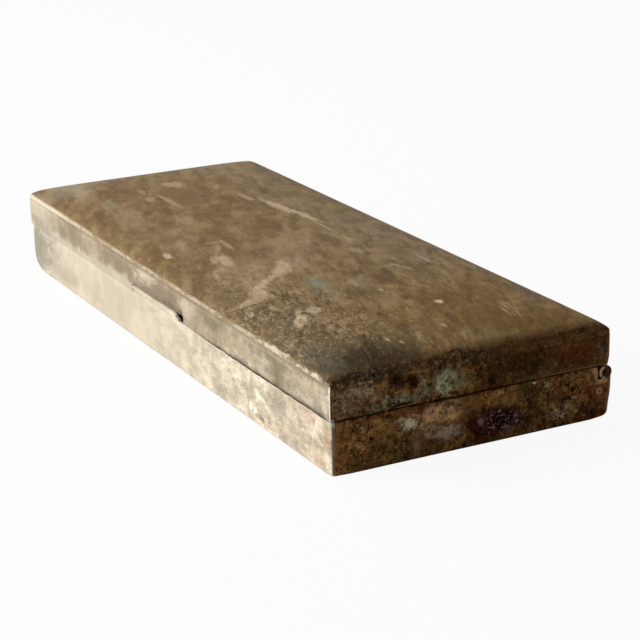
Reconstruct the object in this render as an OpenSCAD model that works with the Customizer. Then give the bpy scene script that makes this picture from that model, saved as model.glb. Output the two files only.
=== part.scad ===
// Flat hinged table box in silver-plated sheet metal, with a domed lid and a cedar lining.
// Millimetres. X runs along the hinge, -Y is the front, +Z is up, Z = 0 is the underside.
// Every side is a flat sheet soldered at the corners: the front and back sheets run the full
// length, and the end sheets stand between them.

/* [Box] */
// Length of the base along the hinge
box_length = 220; // [160:1:300]
// Width of the base from its front to its hinge side
box_width = 87; // [60:1:120]
// Height of the base from its underside to its rim
base_height = 15.4; // [12:0.2:30]
// Height of the lid's sides from their rim to the edge of the domed top
lid_side_height = 9.7; // [8:0.1:25]
// Open seam between the rim of the base and the rim of the closed lid
seam_gap = 0.3; // [0.3:0.05:0.6]
// How far the lid's front and ends stand past the outside of the base
lid_overhang = 0.2; // [0:0.05:0.5]
// How far the back of the lid stands in from the back of the base and its knuckles
lid_back_inset = 0.8; // [0.4:0.1:1]

/* [Sheet metal] */
// Thickness of the side sheets
side_sheet = 1.1; // [0.8:0.05:1.3]
// Thickness of the bottom sheet
bottom_sheet = 1.5; // [1.2:0.1:2.5]
// Thickness of the domed top sheet
top_sheet = 1.1; // [0.8:0.05:1.5]
// Rounding of the bottom edge along the front
front_bottom_radius = 1.2; // [0.8:0.1:2.6]
// Rounding of the bottom edge along the back
back_bottom_radius = 3; // [1:0.1:3.2]
// Rounding of the bottom edge along the two ends
end_bottom_radius = 1.2; // [0.6:0.1:2.4]
// Rounding of the four upright corners
upright_corner_radius = 0.6; // [0.2:0.05:0.9]

/* [Domed top] */
// Height that the middle of the top rises above its edge
dome_rise = 5.2; // [2:0.1:9]
// Distance from the edge over which most of the rise happens
dome_roll = 6.5; // [3:0.5:14]
// Part of the rise that the tight bend at the edge makes
bend_rise = 1; // [0.2:0.1:1.5]
// Distance from the edge over which the tight bend turns
bend_roll = 0.7; // [0.4:0.1:1.5]
// Number of bands over the seat on the sides
bend_steps = 3; // [2:1:4]
// Number of bands from the seat on the sides to the middle of the top
dome_steps = 10; // [6:1:14]

/* [Hinge] */
// Outside radius of the hinge knuckles
knuckle_radius = 2; // [1.8:0.05:2.5]
// Radius of the hinge pin
pin_radius = 1.15; // [0.9:0.05:1.2]
// Radial running clearance between the pin and the knuckles
pin_clearance = 0.05; // [0.02:0.01:0.1]
// How far the pin stops short of each end of the hinge
pin_recess = 2; // [0.5:0.5:4]
// Number of knuckles, odd so that the base has both ends
knuckle_count = 5; // [3:2:9]
// End gap between neighbouring knuckles
knuckle_gap = 0.3; // [0.3:0.05:0.6]
// Width of the open seam along each knuckle's tube
tube_seam = 0.5; // [0.2:0.1:0.8]
// Clearance round the lid's knuckles and under the lid's rim
turning_clearance = 0.3; // [0.3:0.05:0.45]
// Gap between the knuckles and the upright leg of the hinge trough
trough_gap = 0.6; // [0.5:0.1:1.5]
// Thickness of the trough's upright leg
trough_leg = 1.7; // [1:0.1:2.5]
// Thickness of the trough's floor under the knuckles
trough_floor = 1.4; // [0.8:0.1:2]
// How far the back sheet of the base stops below the hinge axis
back_wall_drop = 1.2; // [1.2:0.05:1.5]
// How much farther it stops below the axis at the lid's knuckles
lid_knuckle_drop = 0.3; // [0.2:0.05:0.4]
// How far the foot of the lid's back sheet is tucked in from the back of the base
back_tuck = 1.6; // [1.4:0.1:1.8]
// Height of the tucked-in part of the lid's back sheet
back_tuck_height = 3.5; // [3:0.5:7]

/* [Thumb lip] */
// Length of the thumb lip on the front rim
lip_length = 37; // [16:1:40]
// Height of the thumb lip above the rim of the base
lip_height = 2.3; // [1:0.1:2.7]
// How far the top of the thumb lip leans out past the front
lip_lean = 0.6; // [0:0.1:1]
// Rounding of the thumb lip's upper corners
lip_corner_radius = 0.7; // [0.4:0.1:1]
// Open space between each end of the thumb lip and the notch in the lid
notch_end_gap = 0.5; // [0.3:0.1:3]
// Open space between the top of the thumb lip and the notch
notch_top_gap = 0.35; // [0.3:0.05:1.5]
// Rounding of the notch's upper corners
notch_corner_radius = 0.8; // [0.3:0.1:0.8]

/* [Cedar lining] */
// Thickness of the upright lining boards
lining_board = 2; // [1:0.1:3]
// Thickness of the lining's floor board
lining_floor_board = 1.5; // [1:0.1:3]
// Thickness of the divider between the two compartments
divider_board = 2; // [1:0.1:4]
// How far the lining stops below the rim of the base
lining_drop = 0.4; // [0.2:0.1:2]

/* [Hidden] */
$fn = 64;

// Colours of the finishes
front_silver = [0.80, 0.76, 0.66];
end_tarnish = [0.25, 0.20, 0.14];
top_tarnish = [0.46, 0.38, 0.27];
inside_silver = [0.66, 0.62, 0.54];
hinge_metal = [0.42, 0.36, 0.27];
pin_steel = [0.35, 0.34, 0.33];
cedar = [0.55, 0.33, 0.20];

// Outsides of the base and of the lid, whose centre is a little in front of the base's
base_x = box_length / 2;
base_y = box_width / 2;
lid_x = base_x + lid_overhang;
lid_front_y = -base_y - lid_overhang;
lid_back_y = base_y - lid_back_inset;
lid_half_y = (lid_back_y - lid_front_y) / 2;
lid_centre_y = (lid_back_y + lid_front_y) / 2;

// Heights from the underside up
lid_rim_z = base_height + seam_gap;
lid_edge_z = lid_rim_z + lid_side_height;
lid_wall_top_z = lid_edge_z - top_sheet;

// Hinge axis: the knuckles are flush with the back of the base and with its rim
axis_y = base_y - knuckle_radius;
axis_z = base_height - knuckle_radius;
bore_radius = pin_radius + pin_clearance;
turning_radius = knuckle_radius + turning_clearance;
knuckle_length = (box_length - (knuckle_count - 1) * knuckle_gap) / knuckle_count;

// The foot of the lid's back sheet clears the knuckles whichever gap is the larger
back_foot_z = max(lid_rim_z, axis_z + turning_radius);

// Hinge trough: its floor meets the inside of the back sheet at the height of the knuckle there
trough_back_y = base_y - side_sheet;
trough_inner_y = axis_y - knuckle_radius - trough_gap;
trough_front_y = trough_inner_y - trough_leg;
trough_floor_z = axis_z - sqrt(pow(knuckle_radius, 2) - pow(trough_back_y - axis_y, 2));
trough_bottom_z = axis_z - knuckle_radius - trough_floor;

// Space inside the base
inside_x = base_x - side_sheet;
inside_y = base_y - side_sheet;
lining_z = bottom_sheet + lining_floor_board;
lining_top_z = base_height - lining_drop;
lining_inner_x = inside_x - lining_board;

// Cut that passes right through a sheet on both sides
through = 1;

// A straight length along X with a section drawn as [Y, Z]
module along_x(start, length) {
    translate([start, 0, 0]) rotate([90, 0, 90]) linear_extrude(length) children();
}

// A straight length along Y with a section drawn as [X, Z]
module along_y(start, length) {
    translate([0, start + length, 0]) rotate([90, 0, 0]) linear_extrude(length) children();
}

// Rectangle with four round corners
module round_rectangle(half_x, half_y, radius) {
    square([2 * half_x, 2 * (half_y - radius)], center = true);
    square([2 * (half_x - radius), 2 * half_y], center = true);
    for (sx = [-1, 1], sy = [-1, 1])
        translate([sx * (half_x - radius), sy * (half_y - radius)]) circle(radius);
}

// Upright outline with its two lower corners round, standing on the axis
module dish_outline(half, height, left_radius, right_radius) {
    translate([-half + left_radius, 0]) square([2 * half - left_radius - right_radius, height]);
    translate([-half, left_radius]) square([left_radius, height - left_radius]);
    translate([half - right_radius, right_radius]) square([right_radius, height - right_radius]);
    translate([-half + left_radius, left_radius]) circle(left_radius);
    translate([half - right_radius, right_radius]) circle(right_radius);
}

// Outside form of the base as one solid block
module base_block() {
    intersection() {
        along_x(-base_x, box_length)
            dish_outline(base_y, base_height, front_bottom_radius, back_bottom_radius);
        along_y(-base_y, box_width)
            dish_outline(base_x, base_height, end_bottom_radius, end_bottom_radius);
        linear_extrude(base_height) round_rectangle(base_x, base_y, upright_corner_radius);
    }
}

// Outside form of the lid's sides as one solid block, without the dome
module lid_block() {
    translate([0, lid_centre_y, 0])
        linear_extrude(lid_wall_top_z) round_rectangle(lid_x, lid_half_y, upright_corner_radius);
}

// Places of the knuckles along the hinge, counted from the left end
function knuckle_start(i) = -base_x + i * (knuckle_length + knuckle_gap);

// Round clearance along the hinge: the base's knuckles sit in it, the lid's turn in it
module knuckle_bed() {
    for (i = [0:knuckle_count - 1])
        if (i % 2 == 0)
            along_x(knuckle_start(i), knuckle_length) translate([axis_y, axis_z]) circle(knuckle_radius);
        else
            along_x(knuckle_start(i) - knuckle_gap, knuckle_length + 2 * knuckle_gap)
                translate([axis_y, axis_z]) circle(turning_radius);
}

// One knuckle: a length of tube with an open seam that faces the trough's inner corner
module knuckle(i) {
    seam_angle = 225;
    along_x(knuckle_start(i), knuckle_length) translate([axis_y, axis_z]) difference() {
        circle(knuckle_radius);
        circle(bore_radius);
        rotate(seam_angle) translate([0, -tube_seam / 2]) square([knuckle_radius + through, tube_seam]);
    }
}

module bottom_plate() {
    color(inside_silver) intersection() {
        base_block();
        translate([-inside_x, -inside_y, 0]) cube([2 * inside_x, 2 * inside_y, bottom_sheet]);
    }
}

module base_front_wall() {
    color(front_silver) intersection() {
        base_block();
        translate([-base_x, -base_y, 0]) cube([box_length, side_sheet, base_height]);
    }
}

module base_back_wall() {
    color(front_silver) difference() {
        intersection() {
            base_block();
            translate([-base_x, inside_y, 0]) cube([box_length, side_sheet, axis_z - back_wall_drop]);
        }
        knuckle_bed();
        for (i = [1:2:knuckle_count - 2])
            translate([knuckle_start(i) - knuckle_gap, inside_y - through,
                       axis_z - back_wall_drop - lid_knuckle_drop])
                cube([knuckle_length + 2 * knuckle_gap, side_sheet + 2 * through, knuckle_radius]);
    }
}

// One end sheet of the base, notched at its top back corner for the hinge trough
module base_end_wall(side) {
    color(end_tarnish) difference() {
        intersection() {
            base_block();
            translate([side > 0 ? inside_x : -base_x, -inside_y, 0])
                cube([side_sheet, 2 * inside_y, base_height]);
        }
        translate([side > 0 ? inside_x - through : -base_x - through, trough_front_y, trough_bottom_z])
            cube([side_sheet + 2 * through, box_width, base_height]);
    }
}

module base_left_wall() { base_end_wall(-1); }
module base_right_wall() { base_end_wall(1); }

// Lip soldered on the front rim, leaning out a little under the notch in the lid
module thumb_lip() {
    color(front_silver) intersection() {
        along_x(-lip_length / 2, lip_length) polygon([
            [-base_y, base_height],
            [-base_y + side_sheet, base_height],
            [-base_y + side_sheet - lip_lean, base_height + lip_height],
            [-base_y - lip_lean, base_height + lip_height]]);
        along_y(-base_y - lip_lean - through, side_sheet + lip_lean + 2 * through)
            translate([0, base_height]) rotate(180) translate([0, -lip_height])
                dish_outline(lip_length / 2, lip_height, lip_corner_radius, lip_corner_radius);
    }
}

// Bearer of the hinge: an upright leg, and a floor that is hollowed to seat the base's knuckles
module hinge_trough() {
    color(hinge_metal) difference() {
        along_x(-base_x, box_length) polygon([
            [trough_front_y, trough_bottom_z],
            [trough_back_y, trough_bottom_z],
            [trough_back_y, trough_floor_z],
            [trough_inner_y, trough_floor_z],
            [trough_inner_y, base_height],
            [trough_front_y, base_height]]);
        knuckle_bed();
    }
}

module base_knuckle_left() { color(hinge_metal) knuckle(0); }
module base_knuckle_middle() {
    color(hinge_metal) for (i = [2:2:knuckle_count - 3]) knuckle(i);
}
module base_knuckle_right() { color(hinge_metal) knuckle(knuckle_count - 1); }
module lid_knuckle_left() { color(hinge_metal) knuckle(1); }
module lid_knuckle_right() {
    color(hinge_metal) for (i = [3:2:knuckle_count - 2]) knuckle(i);
}

// Pin through all the knuckles, with its ends eased and set back
module hinge_pin() {
    ease = 0.3;
    span = box_length - 2 * pin_recess;
    color(pin_steel) translate([-span / 2, axis_y, axis_z]) rotate([0, 90, 0]) {
        cylinder(ease, pin_radius - ease, pin_radius);
        translate([0, 0, ease]) cylinder(span - 2 * ease, pin_radius, pin_radius);
        translate([0, 0, span - ease]) cylinder(ease, pin_radius, pin_radius - ease);
    }
}

// Cedar boards: the floor covers the bottom, the others stand on it
module lining_floor() {
    color(cedar) translate([-inside_x, -inside_y, bottom_sheet])
        cube([2 * inside_x, 2 * inside_y, lining_floor_board]);
}

module lining_upright(low_x, high_x, low_y, high_y) {
    color(cedar) translate([low_x, low_y, lining_z])
        cube([high_x - low_x, high_y - low_y, lining_top_z - lining_z]);
}

module lining_front() {
    lining_upright(-lining_inner_x, lining_inner_x, -inside_y, -inside_y + lining_board);
}
module lining_back() {
    lining_upright(-lining_inner_x, lining_inner_x, trough_front_y - lining_board, trough_front_y);
}
module lining_left() { lining_upright(-inside_x, -lining_inner_x, -inside_y, trough_front_y); }
module lining_right() { lining_upright(lining_inner_x, inside_x, -inside_y, trough_front_y); }
module lining_divider() {
    lining_upright(-divider_board / 2, divider_board / 2,
                   -inside_y + lining_board, trough_front_y - lining_board);
}

// Distance to the nearest edges of a half_x by half_y rectangle, blended where two edges meet
function edge_distance(x, y, half_x, half_y) =
    let (dx = half_x - abs(x), dy = half_y - abs(y))
    (dx <= 0 || dy <= 0) ? 0 : dx * dy / sqrt(dx * dx + dy * dy);

// Height of the dome above its edge at a point
function swell(x, y, half_x, half_y) =
    let (d = edge_distance(x, y, half_x, half_y))
    bend_rise * (1 - exp(-d / bend_roll)) + (dome_rise - bend_rise) * (1 - exp(-d / dome_roll));

// Lines of the dome's net across one direction: bands over the seat on the sides, then bands
// that widen towards the middle
function from_edge(half) = concat(
    [for (k = [0:bend_steps - 1]) side_sheet * k / bend_steps],
    [for (k = [0:dome_steps]) side_sheet + (half - side_sheet) * pow(k / dome_steps, 2)]);
function net_lines(half) =
    let (d = from_edge(half))
    concat([for (v = d) v - half], [for (k = [len(d) - 2:-1:0]) half - d[k]]);

// Two triangles for one cell of the net, folded along the line towards the nearest corner
function cell(a, b, c, d, fold_ac) = fold_ac ? [[a, d, c], [a, c, b]] : [[a, d, b], [b, d, c]];

// Domed sheet: its rim is flat where it sits on the sides, and both faces swell alike
module domed_sheet() {
    xs = net_lines(lid_x);
    ys = net_lines(lid_half_y);
    nx = len(xs);
    ny = len(ys);
    under = nx * ny;
    upper_points = [for (x = xs) for (y = ys)
        [x, y, lid_edge_z + swell(x, y, lid_x, lid_half_y)]];
    lower_points = [for (x = xs) for (y = ys)
        [x, y, lid_wall_top_z + swell(x, y, lid_x - side_sheet, lid_half_y - side_sheet)]];
    upper_faces = [for (i = [0:nx - 2]) for (j = [0:ny - 2])
        each cell(i * ny + j, (i + 1) * ny + j, (i + 1) * ny + j + 1, i * ny + j + 1,
                  (xs[i] + xs[i + 1]) * (ys[j] + ys[j + 1]) > 0)];
    lower_faces = [for (f = upper_faces) [under + f[0], under + f[2], under + f[1]]];
    front_faces = [for (i = [0:nx - 2])
        let (a = i * ny, b = (i + 1) * ny) each [[a, b, under + b], [a, under + b, under + a]]];
    back_faces = [for (i = [0:nx - 2])
        let (a = i * ny + ny - 1, b = a + ny) each [[a, under + b, b], [a, under + a, under + b]]];
    left_faces = [for (j = [0:ny - 2])
        let (a = j, b = j + 1) each [[a, under + b, b], [a, under + a, under + b]]];
    right_faces = [for (j = [0:ny - 2])
        let (a = (nx - 1) * ny + j, b = a + 1) each [[a, b, under + b], [a, under + b, under + a]]];
    polyhedron(points = concat(upper_points, lower_points),
               faces = concat(upper_faces, lower_faces, front_faces, back_faces,
                              left_faces, right_faces));
}

module lid_top_plate() {
    color(top_tarnish) translate([0, lid_centre_y, 0]) domed_sheet();
}

// Notch in the lid's front sheet that the thumb lip stands in
module lip_notch() {
    half = lip_length / 2 + notch_end_gap;
    height = lip_height + notch_top_gap - seam_gap;
    along_y(lid_front_y - through, side_sheet + 2 * through)
        translate([0, lid_rim_z + height]) rotate(180)
            dish_outline(half, height + through, notch_corner_radius, notch_corner_radius);
}

module lid_front_wall() {
    color(front_silver) difference() {
        intersection() {
            lid_block();
            translate([-lid_x, lid_front_y, lid_rim_z])
                cube([2 * lid_x, side_sheet, lid_wall_top_z - lid_rim_z]);
        }
        lip_notch();
    }
}

// Face of the lid's back sheet, tucked in at the foot: points [Y, Z] from the foot to the top.
// The foot is drawn on down to the hinge axis, where the knuckles cut it off.
function tucked_face(inset) = [
    [base_y - back_tuck - inset, axis_z],
    [base_y - back_tuck - inset, lid_rim_z],
    [lid_back_y - inset, lid_rim_z + back_tuck_height],
    [lid_back_y - inset, lid_wall_top_z]];
function backwards(list) = [for (k = [len(list) - 1:-1:0]) list[k]];

// The lid's back sheet: it clears the base's knuckles and reaches down to seat on its own
module lid_back_wall() {
    color(front_silver) intersection() {
        lid_block();
        difference() {
            along_x(-lid_x, 2 * lid_x) polygon(concat(tucked_face(0), backwards(tucked_face(side_sheet))));
            foot_gap(-lid_x - through, knuckle_start(1));
            for (i = [2:2:knuckle_count - 3])
                foot_gap(knuckle_start(i) - knuckle_gap, knuckle_start(i + 1));
            foot_gap(knuckle_start(knuckle_count - 1) - knuckle_gap, lid_x + through);
            along_x(-base_x, box_length) translate([axis_y, axis_z]) circle(knuckle_radius);
        }
    }
}

// Stretch of the back sheet's foot that is cut off above a knuckle of the base
module foot_gap(low_x, high_x) {
    translate([low_x, 0, 0]) cube([high_x - low_x, base_y + through, back_foot_z]);
}

// One end sheet of the lid, between the front and the tucked back
module lid_end_wall(side) {
    color(end_tarnish) intersection() {
        lid_block();
        along_x(side > 0 ? lid_x - side_sheet : -lid_x, side_sheet) difference() {
            polygon(concat([[lid_front_y + side_sheet, lid_wall_top_z],
                            [lid_front_y + side_sheet, axis_z]], tucked_face(side_sheet)));
            translate([lid_front_y, 0]) square([box_width, back_foot_z]);
        }
    }
}

module lid_left_wall() { lid_end_wall(-1); }
module lid_right_wall() { lid_end_wall(1); }

bottom_plate();
base_front_wall();
base_back_wall();
base_left_wall();
base_right_wall();
thumb_lip();
hinge_trough();
base_knuckle_left();
base_knuckle_middle();
base_knuckle_right();
hinge_pin();
lining_floor();
lining_front();
lining_back();
lining_left();
lining_right();
lining_divider();
lid_top_plate();
lid_front_wall();
lid_back_wall();
lid_left_wall();
lid_right_wall();
lid_knuckle_left();
lid_knuckle_right();
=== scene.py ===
import math

import bmesh
import bpy
from mathutils import Matrix, Vector, noise


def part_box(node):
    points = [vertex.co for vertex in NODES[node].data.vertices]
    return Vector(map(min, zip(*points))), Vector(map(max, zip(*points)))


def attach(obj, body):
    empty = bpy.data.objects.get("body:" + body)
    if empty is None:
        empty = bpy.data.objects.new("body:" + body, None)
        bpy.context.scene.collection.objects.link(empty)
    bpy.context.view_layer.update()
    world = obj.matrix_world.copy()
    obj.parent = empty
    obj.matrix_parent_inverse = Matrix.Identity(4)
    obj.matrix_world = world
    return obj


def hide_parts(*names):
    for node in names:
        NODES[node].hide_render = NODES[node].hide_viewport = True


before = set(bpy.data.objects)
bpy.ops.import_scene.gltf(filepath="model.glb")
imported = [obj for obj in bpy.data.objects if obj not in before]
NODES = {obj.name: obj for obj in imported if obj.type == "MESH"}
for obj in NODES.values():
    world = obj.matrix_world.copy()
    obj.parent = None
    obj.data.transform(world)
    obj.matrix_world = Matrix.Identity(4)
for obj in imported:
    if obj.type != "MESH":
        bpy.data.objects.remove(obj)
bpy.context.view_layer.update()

bl_info = {
    "name": "Worn Silver-Plated Table Box",
    "version": (1, 0, 0),
    "blender": (4, 5, 0),
    "location": "3D View > Sidebar > Table Box",
    "description": "Dresses a flat hinged box in tarnished plate, worn edges and cedar",
    "category": "Object",
}

MM = 0.001

# Landmarks of the closed box in millimetres, read from the solids
TOP_LOW, TOP_HIGH = (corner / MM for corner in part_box("lid_top_plate"))
BASE_LOW, BASE_HIGH = (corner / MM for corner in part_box("base_front_wall"))
LID_WALL_LOW, LID_WALL_HIGH = (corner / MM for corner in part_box("lid_front_wall"))
LIP_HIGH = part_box("thumb_lip")[1] / MM
LID_X, LID_FRONT_Y, LID_BACK_Y = TOP_HIGH.x, TOP_LOW.y, TOP_HIGH.y
LID_HALF_Y, LID_MID_Y = (LID_BACK_Y - LID_FRONT_Y) / 2, (LID_BACK_Y + LID_FRONT_Y) / 2
BASE_X, BASE_Y = BASE_HIGH.x, -BASE_LOW.y
SHEET = BASE_HIGH.y - BASE_LOW.y
RIM_Z, LID_RIM_Z, SEAT_Z = BASE_HIGH.z, LID_WALL_LOW.z, LID_WALL_HIGH.z
SEAM_Z = (RIM_Z + LID_RIM_Z) / 2


class BoxSizes(bpy.types.PropertyGroup):
    """Sizes of the worn surfaces, on top of the solids."""

    edge_wear: bpy.props.FloatProperty(
        name="Edge wear", description="Width of the rounding worn on the sheet edges",
        default=0.22 * MM, min=0.0, max=MM, unit="LENGTH", precision=5)
    waviness: bpy.props.FloatProperty(
        name="Waviness", description="How far the sheets wander from true flat",
        default=0.10 * MM, min=0.0, max=0.5 * MM, unit="LENGTH", precision=5)
    top_sheet: bpy.props.FloatProperty(
        name="Top sheet", description="Thickness of the domed sheet at its edge",
        default=1.1 * MM, min=0.5 * MM, max=2 * MM, unit="LENGTH", precision=5)
    dome_roll: bpy.props.FloatProperty(
        name="Dome roll", description="Distance from the edge over which the dome rises",
        default=6.5 * MM, min=3 * MM, max=14 * MM, unit="LENGTH", precision=5)
    bend_rise: bpy.props.FloatProperty(
        name="Bend rise", description="Part of the rise that the tight bend at the edge makes",
        default=1.0 * MM, min=0.2 * MM, max=2 * MM, unit="LENGTH", precision=5)
    bend_roll: bpy.props.FloatProperty(
        name="Bend roll", description="Distance from the edge over which the tight bend turns",
        default=0.7 * MM, min=0.3 * MM, max=2 * MM, unit="LENGTH", precision=5)


class BoxColours(bpy.types.PropertyGroup):
    """Colours of the finishes, before their marks and stains."""

    plate: bpy.props.FloatVectorProperty(
        name="Plate", description="Worn silver plate on the front and back",
        default=(0.715, 0.622, 0.462), size=3, min=0.0, max=1.0, subtype="COLOR")
    plate_film: bpy.props.FloatVectorProperty(
        name="Plate film", description="Tan-grey film on the silver plate",
        default=(0.290, 0.205, 0.118), size=3, min=0.0, max=1.0, subtype="COLOR")
    tarnish: bpy.props.FloatVectorProperty(
        name="Top tarnish", description="Khaki-brown tarnish of the domed top",
        default=(0.272, 0.176, 0.088), size=3, min=0.0, max=1.0, subtype="COLOR")
    end_tarnish: bpy.props.FloatVectorProperty(
        name="End tarnish", description="Dark brown tarnish of the two ends",
        default=(0.165, 0.080, 0.024), size=3, min=0.0, max=1.0, subtype="COLOR")
    inside_plate: bpy.props.FloatVectorProperty(
        name="Inside plate", description="Dull plate inside the box and under it",
        default=(0.46, 0.42, 0.34), size=3, min=0.0, max=1.0, subtype="COLOR")
    hinge_metal: bpy.props.FloatVectorProperty(
        name="Hinge metal", description="Dirty metal of the hinge's trough and knuckles",
        default=(0.175, 0.105, 0.045), size=3, min=0.0, max=1.0, subtype="COLOR")
    cedar: bpy.props.FloatVectorProperty(
        name="Cedar", description="Bare cedar of the lining",
        default=(0.36, 0.17, 0.075), size=3, min=0.0, max=1.0, subtype="COLOR")


class Wire:
    """An output socket that can be used in sums, so that a pattern reads as arithmetic."""

    def __init__(self, finish, socket):
        self.finish = finish
        self.socket = socket

    def __add__(self, other):
        return self.finish.math("ADD", self, other)

    __radd__ = __add__

    def __mul__(self, other):
        return self.finish.math("MULTIPLY", self, other)

    __rmul__ = __mul__

    def __sub__(self, other):
        return self.finish.math("SUBTRACT", self, other)

    def __rsub__(self, other):
        return self.finish.math("SUBTRACT", other, self)

    def __abs__(self):
        return self.finish.math("ABSOLUTE", self, 0.0)

    def above(self, level, soft):
        """Rises from 0 to 1 as the value passes the level, over twice the softness."""
        return self.finish.ramp(self, level - soft, level + soft)

    def below(self, level, soft):
        """Falls from 1 to 0 as the value passes the level, over twice the softness."""
        return self.finish.ramp(self, level + soft, level - soft)


class Finish:
    """A node material whose pattern is laid out in millimetres on the closed box."""

    def __init__(self, name):
        self.material = bpy.data.materials.new(name)
        self.material.use_nodes = True
        self.tree = self.material.node_tree
        self.tree.nodes.clear()
        place = self.node("ShaderNodeTexCoord").outputs["Object"]
        to_mm = self.node("ShaderNodeVectorMath", operation="SCALE")
        to_mm.inputs["Scale"].default_value = 1 / MM
        self.tree.links.new(place, to_mm.inputs[0])
        self.place = Wire(self, to_mm.outputs[0])
        parts = self.node("ShaderNodeSeparateXYZ")
        self.join(self.place, parts.inputs[0])
        self.x, self.y, self.z = (Wire(self, parts.outputs[k]) for k in range(3))

    def node(self, kind, **settings):
        """A new node of the material, with its settings."""
        made = self.tree.nodes.new(kind)
        for key, value in settings.items():
            setattr(made, key, value)
        return made

    def join(self, value, socket):
        """Links a wire to a socket, or writes a plain value into it."""
        if isinstance(value, Wire):
            self.tree.links.new(value.socket, socket)
        elif socket.type == "RGBA" and len(value) == 3:
            socket.default_value = (*value, 1.0)
        else:
            socket.default_value = value

    def math(self, operation, a, b):
        """Sum, product or the like of two values."""
        made = self.node("ShaderNodeMath", operation=operation)
        self.join(a, made.inputs[0])
        self.join(b, made.inputs[1])
        return Wire(self, made.outputs[0])

    def ramp(self, value, start, end, low=0.0, high=1.0):
        """Smooth step from low at start to high at end."""
        made = self.node("ShaderNodeMapRange", interpolation_type="SMOOTHSTEP")
        for k, entry in enumerate((value, start, end, low, high)):
            self.join(entry, made.inputs[k])
        return Wire(self, made.outputs[0])

    def placed(self, centre=(0, 0, 0), scale=(1, 1, 1), turn=(0, 0, 0)):
        """Place measured from a centre, turned by degrees about X, Y and Z, and divided by scale."""
        made = self.node("ShaderNodeMapping", vector_type="TEXTURE")
        self.join(self.place, made.inputs["Vector"])
        made.inputs["Location"].default_value = centre
        made.inputs["Rotation"].default_value = [math.radians(v) for v in turn]
        made.inputs["Scale"].default_value = scale
        return Wire(self, made.outputs[0])

    def grain(self, size, detail=3.0, rough=0.5, seed=0, stretch=(1, 1, 1), turn=(0, 0, 0),
              warp=0.0):
        """Fractal noise around 0.5 whose largest marks are about size millimetres across."""
        scale = [size * v for v in stretch]
        made = self.node("ShaderNodeTexNoise", noise_dimensions="3D")
        centre = (17.3 * seed, -31.7 * seed, 23.1 * seed)
        self.join(self.placed(centre, scale, turn), made.inputs["Vector"])
        made.inputs["Scale"].default_value = 1.0
        made.inputs["Detail"].default_value = detail
        made.inputs["Roughness"].default_value = rough
        made.inputs["Distortion"].default_value = warp
        return Wire(self, made.outputs["Fac"])

    def cells(self, size, seed=0):
        """Distance to the nearest of points scattered about size millimetres apart."""
        made = self.node("ShaderNodeTexVoronoi", feature="F1")
        self.join(self.placed((29.1 * seed, 11.9 * seed, -7.7 * seed), (size,) * 3),
                  made.inputs["Vector"])
        made.inputs["Scale"].default_value = 1.0
        return Wire(self, made.outputs["Distance"])

    def specks(self, spacing, radius, seed=0, share=0.5):
        """Round specks of the given radius on a share of points scattered at the spacing."""
        near = self.cells(spacing, seed).below(radius / spacing, 0.4 * radius / spacing)
        return near * self.grain(spacing * 3, detail=1.0, rough=0.5, seed=seed + 5).above(1 - share, 0.03)

    def spot(self, face, place, soft=0.35, ragged=0.5, seed=0, size=3.0):
        """One stain with a ragged edge on a face of the box: 1 inside an ellipse, 0 outside."""
        edge = (self.grain(size, detail=4.0, rough=0.6, seed=seed + 3) - 0.5) * (2 * ragged)
        return (self.away(face, *place) + edge).below(1.0, soft)

    def away(self, face, u, v, half_u, half_v, turn):
        """Distance from the middle of an ellipse on a face of the box: 1 along its outline."""
        centre, radii, turns = {
            "top": ((u, v, TOP_HIGH.z), (half_u, half_v, 60.0), (0, 0, turn)),
            "end": ((LID_X, u, v), (60.0, half_u, half_v), (turn, 0, 0)),
            "front": ((u, LID_FRONT_Y, v), (half_u, 60.0, half_v), (0, -turn, 0)),
        }[face]
        made = self.node("ShaderNodeVectorMath", operation="LENGTH")
        self.join(self.placed(centre, radii, turns), made.inputs[0])
        return Wire(self, made.outputs["Value"])

    def stains(self, colour, face, marks, soft=0.35, ragged=1.0):
        """Lays a list of stains over a colour. A mark has the place, half sizes and turn of an
        ellipse on the face, a tint and a strength."""
        stretch, slant = {"top": (2.4, -17), "end": (1, 0), "front": (2, 0)}[face]
        # Broad stains have coarse edges and small ones fine edges
        edges = []
        for least, size in ((2.0, 4.0), (0.7, 1.4), (0.0, 0.6)):
            grain = self.grain(size, detail=5.0, rough=0.66, seed=31, stretch=(stretch, 1, 1),
                               turn=(0, 0, slant))
            edges.append((least, (grain - 0.5) * (2 * ragged)))
        for u, v, half_u, half_v, turn, tint, strength in marks:
            edge = next(wire for least, wire in edges if min(half_u, half_v) >= least)
            away = self.away(face, u, v, half_u, half_v, turn) + edge
            colour = self.tint(colour, tint, self.ramp(away, 1 + soft, 1 - soft, low=0.0, high=strength))
        return colour

    def scratches(self, length, width, seed, turn, share=0.5):
        """Fine scratches that run along one direction, broken up by patches."""
        long = length / width
        lines = self.grain(width, detail=1.0, rough=0.4, seed=seed, stretch=(long, 1, long), turn=turn)
        thin = self.ramp(abs(lines - 0.5), 0.012, 0.0)
        return thin * self.grain(length * 0.8, detail=2.0, rough=0.5, seed=seed + 9).above(1 - share, 0.08)

    def tint(self, under, over, amount):
        """Lays one colour over another by an amount from 0 to 1."""
        made = self.node("ShaderNodeMix", data_type="RGBA", clamp_factor=True)
        # The node's sockets for colours come after those for numbers and vectors
        factor, first, second = made.inputs[0], made.inputs[6], made.inputs[7]
        self.join(amount, factor)
        self.join(under, first)
        self.join(over, second)
        return Wire(self, made.outputs[2])

    def shade(self, colour, amount):
        """Multiplies a colour by a grey level that stays near 1."""
        made = self.node("ShaderNodeVectorMath", operation="SCALE")
        self.join(colour, made.inputs[0])
        self.join(amount, made.inputs["Scale"])
        return Wire(self, made.outputs[0])

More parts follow.
